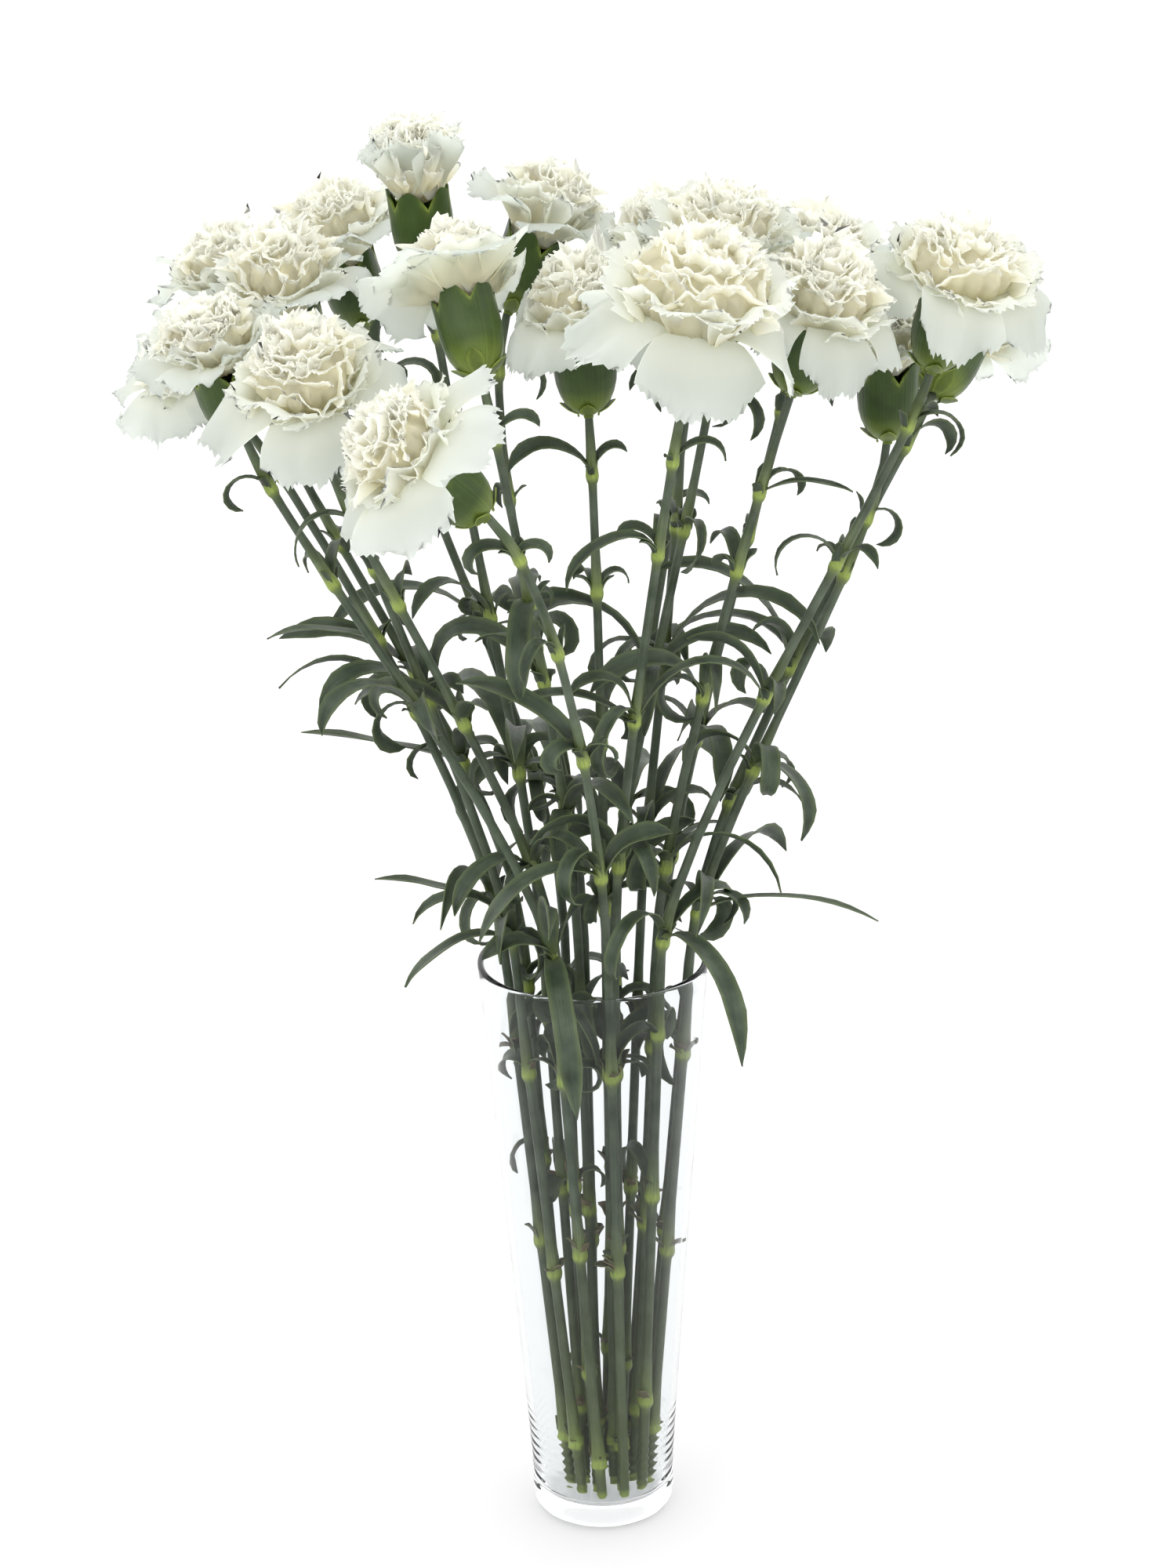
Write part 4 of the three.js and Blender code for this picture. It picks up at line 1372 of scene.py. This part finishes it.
def spanning(root: Pair, tip: Pair, bends: Slopes) -> tuple[float, Slopes]:
    """Finds the middle line that carries a petal of given bends from its root to its tip.

    Args:
        root: How far out and how high it springs.
        tip: How far out and how high it ends.
        bends: Its slopes at KNOTS, in degrees, before it is turned as a whole.

    Returns:
        Its length and its slopes.
    """
    slope = np.radians(np.interp(MIDDLES, KNOTS, bends))
    out, up = float(np.cos(slope).mean()), float(np.sin(slope).mean())
    away, rise = tip[0] - root[0], tip[1] - root[1]
    turn = math.degrees(math.atan2(rise, away) - math.atan2(up, out))
    return math.hypot(away, rise) / math.hypot(out, up), tuple(bend + turn for bend in bends)


@dataclass(frozen=True)
class Whorl:
    """The ranges that the petals of one whorl are drawn from, in the order of the draws.

    The half width is a share of the width given with each petal.
    """

    half_width: Pair
    ruffle: Pair
    waves: Pair
    pleat: Pair
    pleats: Pair
    fold: Pair
    tooth: Pair
    slits: Pair
    lean: Pair
    warm: float
    guarding: float = 0.0

    def petal(self, turn: float, root: Pair, line: tuple[float, Slopes], wide: float,
              dice: Dice) -> Petal:
        """Draws one petal.

        Args:
            turn: The way it points, round the bloom's axis.
            root: How far out and how high it springs.
            line: Its middle line's length and slopes.
            wide: What its half width is a share of.
            dice: Where its uneven sizes are drawn.

        Returns:
            The petal's form.
        """
        sizes = (self.half_width, self.ruffle, self.waves, self.pleat, self.pleats, self.fold,
                 PHASES, self.tooth, self.slits, self.lean)
        half, ruffle, waves, pleat, pleats, fold, phase, tooth, slits, lean = (
            dice.between(*span) for span in sizes)
        return Petal(turn, root, *line, half * wide, ruffle, waves, pleat, pleats, fold, phase,
                     tooth, int(slits), self.warm, lean, self.guarding)


GUARDS = Whorl((0.5, 0.6), (2.4, 4.8), (0.9, 2.2), (0.3, 1.1), (1.2, 2.6), (-0.2, 0.12),
               (2.8, 4.2), (1, 5.9), (-0.3, 0.3), 0.35, 1.0)
SPREAD = Whorl((0.5, 0.6), (2.0, 3.8), (1.4, 2.6), (0.4, 1.2), (1.6, 3), (-0.1, 0.25),
               (2.6, 4.0), (1, 4.9), (-0.25, 0.25), 0.6, 0.5)
BOWL = Whorl((0.55, 0.7), (1.6, 2.8), (2.0, 3.4), (0.3, 1.0), (1.5, 3), (-0.15, 0.25),
             (1.8, 2.8), (0, 3.9), (-0.3, 0.3), 0.9)
FRILLS = Whorl((12, 18), (1.1, 1.9), (2.4, 4.2), (0.4, 1.2), (1.4, 2.6), (-0.5, 0.6),
               (1.6, 2.8), (0, 2.9), (-0.7, 0.7), 0.9)


@dataclass
class Bloom:
    """One bloom: guard petals, a spreading whorl, a bowl, and frills packed over a folded core."""

    line: StemLine
    broad: Piece
    frill: Piece
    core: Piece
    mouth: float = 37
    whorl_petals: int = 5
    bowl_petals: int = 7
    heart_petals: int = 27
    golden: float = 2.39996
    thickness: float = 0.3

    def dome(self, reach: float) -> float:
        """How high the bloom's dome stands over the calyx foot, at a share of the heart's radius."""
        return self.line.head.tall - 0.44 * (self.line.head.tall - self.mouth) * reach**2.4

    def width(self) -> float:
        """Half the heart's width, which is less in a bud."""
        return self.line.head.heart / 2 * lerp(0.82, 1, min(self.line.head.open / 0.5, 1))

    def forms(self) -> Iterator[tuple[Piece, Petal]]:
        """Draws every petal's form, from the outermost in, with the blank that it is bent from."""
        dice = Dice(BLOOM_SEED + self.line.index)
        for whorl in (self.guards, self.spread, self.bowl):
            for form in whorl(dice):
                yield self.broad, form
        for form in self.frills(dice):
            yield self.frill, form

    def guards(self, dice: Dice) -> Iterator[Petal]:
        """Forms the guard petals, which lean out over the calyx and hang when the bloom is open."""
        head = self.line.head
        half, start, fifth = head.size / 2, math.radians(head.first), math.tau / self.whorl_petals
        for k in range(self.whorl_petals):
            long, bend = dice.between(0.94, 1.06), dice.between(-10, 10)
            for _ in range(4):
                dice.next()
            length = (half + 1 + 30 * (head.open - 0.55) ** 2) * long
            rise, fall = lerp(80, 45, head.open), 62 - 108 * head.open + bend
            slopes = (90, lerp(rise, fall, 0.36), fall + dice.between(-6, 8),
                      fall + dice.between(-20, 45))
            turn = start + k * fifth
            yield GUARDS.petal(turn, (10.6, self.mouth - 3), (length, slopes), half, dice)

    def spread(self, dice: Dice) -> Iterator[Petal]:
        """Forms the broad petals of the second whorl, which stand round the bowl and spread."""
        head = self.line.head
        half, start, fifth = head.size / 2, math.radians(head.first), math.tau / self.whorl_petals
        opened = min(head.open / 0.5, 1)
        root = (9.8, self.mouth - 1)
        for k in range(self.whorl_petals):
            turn = start + (k + 0.5 + dice.between(-0.16, 0.16)) * fifth
            out = min(dice.between(1.0, 1.25) * head.heart / 2, half - 3) * lerp(0.76, 1, opened)
            tip = (out, head.tall - 6 - 11 * min(head.open, 1.1) + dice.between(-5, 4))
            line = spanning(root, tip, (-14, 18, 10, 10 - opened * dice.between(20, 75)))
            yield SPREAD.petal(turn, root, line, half, dice)

    def bowl(self, dice: Dice) -> Iterator[Petal]:
        """Forms the bowl's petals, whose backs show from the calyx to their frilled edges."""
        wide, start = self.width(), math.radians(self.line.head.first)
        root = (8.6, self.mouth)
        for k in range(self.bowl_petals):
            turn = start + (k + dice.between(-0.25, 0.25)) * math.tau / self.bowl_petals
            reach = dice.between(0.74, 1.06)
            tip = (reach * wide, self.dome(reach) + dice.between(-8, 2))
            line = spanning(root, tip, (-22, 16, 16, 10 - dice.between(10, 70)))
            yield BOWL.petal(turn, root, line, wide, dice)

    def frills(self, dice: Dice) -> Iterator[Petal]:
        """Forms the frilled petals that stand out of the folded core and flop over at the dome."""
        wide, start = self.width(), math.radians(self.line.head.first)
        for k in range(self.heart_petals):
            reach = 0.8 * math.sqrt(1 - (k + 0.4) / self.heart_petals)
            turn = start + k * self.golden + dice.between(-0.4, 0.4)
            root = (0.6 * reach * wide, self.dome(reach) - dice.between(15, 20))
            tip = (max(reach * wide, 3), self.dome(reach) + dice.between(-2, 2.5))
            line = spanning(root, tip, (-10, 10, 4, -dice.between(20, 100)))
            yield FRILLS.petal(turn, root, line, 1, dice)

    def heart(self) -> Piece:
        """Fits a copy of the folded core under the frills.

        Returns:
            The core, in the bloom's place.
        """
        wide = 0.76 * self.width()
        low, high = self.mouth - 5, self.line.head.tall - 7
        piece = copy_of(self.core, "core")
        points = places(self.core) / MM
        points[:, :2] *= wide
        points[:, 2] = low + points[:, 2] * (high - low)
        move_to(piece, points @ from_upright(self.line.axis).T + self.line.base)
        # Painted warm shade: the hidden core is warm all over.
        paint(piece, warm=0.8, guarding=0)
        return piece

    def build(self, planes: list[Plane]) -> Piece:
        """Bends every petal, sets the bloom on its calyx and presses it against its neighbours.

        Args:
            planes: The planes halfway to the neighbouring blooms: direction and distance.

        Returns:
            The bloom.
        """
        draws = np.random.default_rng(MARGIN_SEED + self.line.index)
        turn = from_upright(self.line.axis)
        pieces = []
        for number, (pattern, form) in enumerate(self.forms()):
            flat = places(pattern)
            points = form.points(flat, draws) @ turn.T + self.line.base
            piece = copy_of(pattern, f"petal_{number}")
            move_to(piece, self.pressed(points, planes))
            # Painted warm shade towards each petal's claw, deep in the bloom, partly the claw's own
            # tint.
            depth = (1 - smooth(flat[:, 1], 0.15, 0.92)) * form.warm
            paint(piece, warm=np.clip(depth, 0, 1), guarding=form.guarding)
            pieces.append(piece)
        sheets = joined(pieces, "sheets")
        thicken(sheets, self.thickness)
        bloom = joined([sheets, self.heart()], f"petals_{self.line.index + 1:02d}")
        shade(bloom, 60)
        return bloom

    def pressed(self, points: Rows, planes: list[Plane],
                squeeze: float = 10, gap: float = 0.3) -> Rows:
        """Bends what would cross a plane back to its own side, more the further it reaches."""
        room = squeeze - gap
        for normal, limit in planes:
            over = (points - self.line.middle) @ normal - (limit - squeeze)
            back = np.where(over > 0, room * (1 - np.exp(-np.maximum(over, 0) / room)) - over, 0)
            points = points + normal * back[:, None]
        return points


def folded_core() -> Piece:
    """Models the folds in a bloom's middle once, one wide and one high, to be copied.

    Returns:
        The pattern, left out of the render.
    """
    core = turned("core_pattern", CORE_OUTLINE, 48)
    points = places(core) / MM
    angle = np.arctan2(points[:, 1], points[:, 0])
    folds = 1 + 0.07 * np.cos(16 * angle + 5 * points[:, 2]) + 0.03 * np.cos(7 * angle)
    points[:, :2] *= folds[:, None]
    points[:, 2] += 0.03 * np.cos(9 * angle) * smooth(points[:, 2], 0.7, 0.95)
    move_to(core, points)
    core.hide_render = True
    return core


def press_planes(line: StemLine, lines: list[StemLine]) -> list[Plane]:
    """Finds the planes halfway to the neighbouring blooms.

    Args:
        line: The stem whose bloom is pressed.
        lines: Every stem.

    Returns:
        Each plane's direction and its distance from the bloom's middle.
    """
    planes = []
    for other in lines:
        away = other.middle - line.middle
        distance = float(np.linalg.norm(away))
        sizes = line.head.size + other.head.size
        if other is not line and distance <= sizes / 2 + 6:
            planes.append((away / distance, distance * line.head.size / sizes))
    return planes


# The flowers.
@dataclass
class Carnations:
    """The twenty flowers: each has one green piece and one piece of petals."""

    shape: VaseShape
    petal_finish: PetalFinish = PetalFinish()
    torn_below_rim: float = 40
    husk_thickness: float = 0.5

    def build(self) -> list[Piece]:
        """Models the patterns once, then every flower from copies of them."""
        lines = Arrangement(self.shape).stems()
        leaves = Foliage(self.shape).grow(lines)
        LOG.info("%d leaves", len(leaves))
        self.cup = Cup()
        self.cup_pattern = self.cup.pattern()
        self.blades = Blades(blank("leaf_pattern", 4, 12, 0))
        broad = blank("broad_petal_pattern", 18, 9, 1)
        frill = blank("frilled_petal_pattern", 16, 6, 1)
        core = folded_core()
        self.materials = [GREEN_FINISHES[part].material() for part in Green]
        petal = self.petal_finish.material()
        pieces = []
        for line in lines:
            own = [leaf for leaf in leaves if leaf.owner == line.index]
            pieces.append(self.greens(line, own))
            bloom = Bloom(line, broad, frill, core).build(press_planes(line, lines))
            bloom.data.materials.append(petal)
            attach(bloom, "root")
            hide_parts(f"bloom_{line.index + 1:02d}")
            pieces.append(bloom)
        for pattern in (self.cup_pattern, self.blades.pattern, broad, frill, core):
            bpy.data.objects.remove(pattern)
        return pieces

    def greens(self, line: StemLine, leaves: list[Leaf]) -> Piece:
        """Makes one flower's stem, leaves and cup, joined as one piece."""
        number = line.index + 1
        stalk = self.dress(Stalk(line).build(), Green.STALK, 50)
        blades = [self.blades.leaf(leaf, f"leaf_{k}") for k, leaf in enumerate(leaves)]
        blades += [self.blades.leaf(stub, f"stub_{k}") for k, stub in enumerate(self.stubs(line))]
        foliage = joined(blades, "foliage")
        thicken(foliage, self.blades.thickness)
        self.dress(foliage, Green.LEAF, 60)
        cup = self.dress(self.cup_on(line), Green.CUP, 50)
        greens = joined([stalk, foliage, cup], f"greens_{number:02d}")
        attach(greens, "root")
        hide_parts(f"stem_{number:02d}")
        return greens

    def dress(self, piece: Piece, part: Green, angle: float) -> Piece:
        """Shades a green part and gives it its finish."""
        shade(piece, angle)
        piece.data.materials.clear()
        piece.data.materials.append(self.materials[part.value])
        return piece

    def stubs(self, line: StemLine) -> list[Leaf]:
        """Draws the torn leaf feet at every joint: short, close to the stem and uneven."""
        dice = Dice(STUB_SEED + line.index)
        stubs = []
        for along in line.joints:
            low = line.points(along)[0, 2] < self.shape.height - self.torn_below_rim
            for side in range(4 if low else 2):
                form = LeafForm(
                    turn=dice.between(0, math.tau) if low else side * math.pi + dice.between(0, 1.5),
                    length=dice.between(4, 13) if low else dice.between(7, 15),
                    half_width=dice.between(1.3, 2.8), start=math.radians(dice.between(0, 24)),
                    curl=math.radians(dice.between(0, 90)), late=1.2,
                    dry=dice.between(0, 0.9) if low else 0.0)
                leaf = Leaf.on(line, along, form, above=0.5)
                stubs.append(replace(leaf, root=leaf.root + leaf.out * 1.8))
        return stubs

    def cup_on(self, line: StemLine) -> Piece:
        """Sets a copy of the cup on its stem, with scales round its foot."""
        _, _, side, front = (rows[0] for rows in line.frames(line.length))
        frame = np.column_stack([side, front, line.axis])
        cup = copy_of(self.cup_pattern, "cup")
        move_to(cup, places(cup) / MM @ frame.T + line.base)
        scales = []
        for order in range(self.cup.scales):
            scale = copy_of(self.blades.pattern, f"scale_{order}")
            points = self.cup.scale_points(self.blades.flat, order)
            move_to(scale, points @ frame.T + line.base)
            edge = smooth(np.abs(self.blades.flat[:, 0]), 0.5, 1)
            paint(scale, pale=0.35 + 0.4 * edge, aged=0, dry=0)
            scales.append(scale)
        husk = joined(scales, "husk")
        thicken(husk, self.husk_thickness)
        return joined([cup, husk], "cup")


# Studio.
@dataclass
class Studio:
    """The plain floor, the soft lights and the camera at the photograph's angle.

    The eye, the aim and the lamps' places and sizes are in metres, the lamps' power in watts.
    """

    eye: tuple[float, float, float] = (0.0, -2.090, 1.1255)
    pitch: float = 20.0
    yaw: float = -0.015
    roll: float = -1.18
    sensor: float = 36
    focal_share: float = 6247 / 2000
    gap: float = 0.4
    sky: float = 1.65
    aim: tuple[float, float, float] = (0, 0, 0.4)
    lamps: tuple[tuple[str, tuple[float, float, float], float, float], ...] = (
        ("key_light", (-1.5, -1.6, 2.6), 1.6, 10), ("back_light", (0.7, 2.2, 2.2), 1.8, 6))
    finish: FloorFinish = FloorFinish()

    def build(self) -> None:
        """Sets up the camera, the floor and the lights."""
        self.camera()
        self.floor()
        self.world()
        for lamp in self.lamps:
            self.lamp(*lamp)
        bpy.context.scene.view_settings.view_transform = "Standard"

    def camera(self) -> None:
        """Places the camera, turned a little on its own axis as the photograph's was."""
        pitch, yaw, roll = (math.radians(angle) for angle in (self.pitch, self.yaw, self.roll))
        level = math.cos(pitch)
        ahead = Vector((math.sin(yaw) * level, math.cos(yaw) * level, -math.sin(pitch)))
        right = Vector((math.cos(yaw), -math.sin(yaw), 0))
        above = right.cross(ahead)
        tilted = right * math.cos(roll) + above * math.sin(roll)
        upright = above * math.cos(roll) - right * math.sin(roll)
        put_down()
        bpy.ops.object.camera_add(location=self.eye)
        camera = bpy.context.object
        camera.name = "camera"
        camera.data.lens = self.focal_share * self.sensor
        camera.data.sensor_width = self.sensor
        camera.rotation_euler = Matrix((tilted, upright, -ahead)).transposed().to_euler()
        bpy.context.scene.camera = camera

    def floor(self) -> None:
        """Lays the floor."""
        floor = started("studio_floor", bpy.ops.mesh.primitive_circle_add, vertices=64, radius=14,
                        fill_type="NGON", location=(0, 0, -self.gap * MM))
        floor.data.materials.append(self.finish.material())
        floor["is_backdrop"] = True

    def world(self) -> None:
        """Fills the room with even white light."""
        world = bpy.data.worlds.new("studio")
        bpy.context.scene.world = world
        world.use_nodes = True
        sky = world.node_tree.nodes["Background"]
        sky.inputs["Color"].default_value = (1.0, 1.0, 1.0, 1)
        sky.inputs["Strength"].default_value = self.sky

    def lamp(self, name: str, place: tuple[float, float, float], size: float, power: float) -> None:
        """Hangs a soft square lamp that faces the flowers."""
        put_down()
        bpy.ops.object.light_add(type="AREA", location=place)
        lamp = bpy.context.object
        lamp.name = name
        lamp.data.size = size
        lamp.data.energy = power
        facing = Vector(self.aim) - Vector(place)
        lamp.rotation_euler = facing.to_track_quat("-Z", "Y").to_euler()


def main() -> None:
    """Builds the studio, the vase and the flowers, in that order."""
    logging.basicConfig(level=logging.INFO, format="%(message)s")
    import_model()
    cad_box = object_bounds()
    Studio().build()
    shape = VaseShape()
    pieces = [GlassVase(shape).build(), *Carnations(shape).build()]
    for piece in pieces:
        LOG.info("%s: %d faces", piece.name, len(piece.data.polygons))
    boxes = {"cad": cad_box, "visual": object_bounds()}
    {name: [list(corner) for corner in box] for name, box in boxes.items()}


if __name__ == "__main__":
    main()
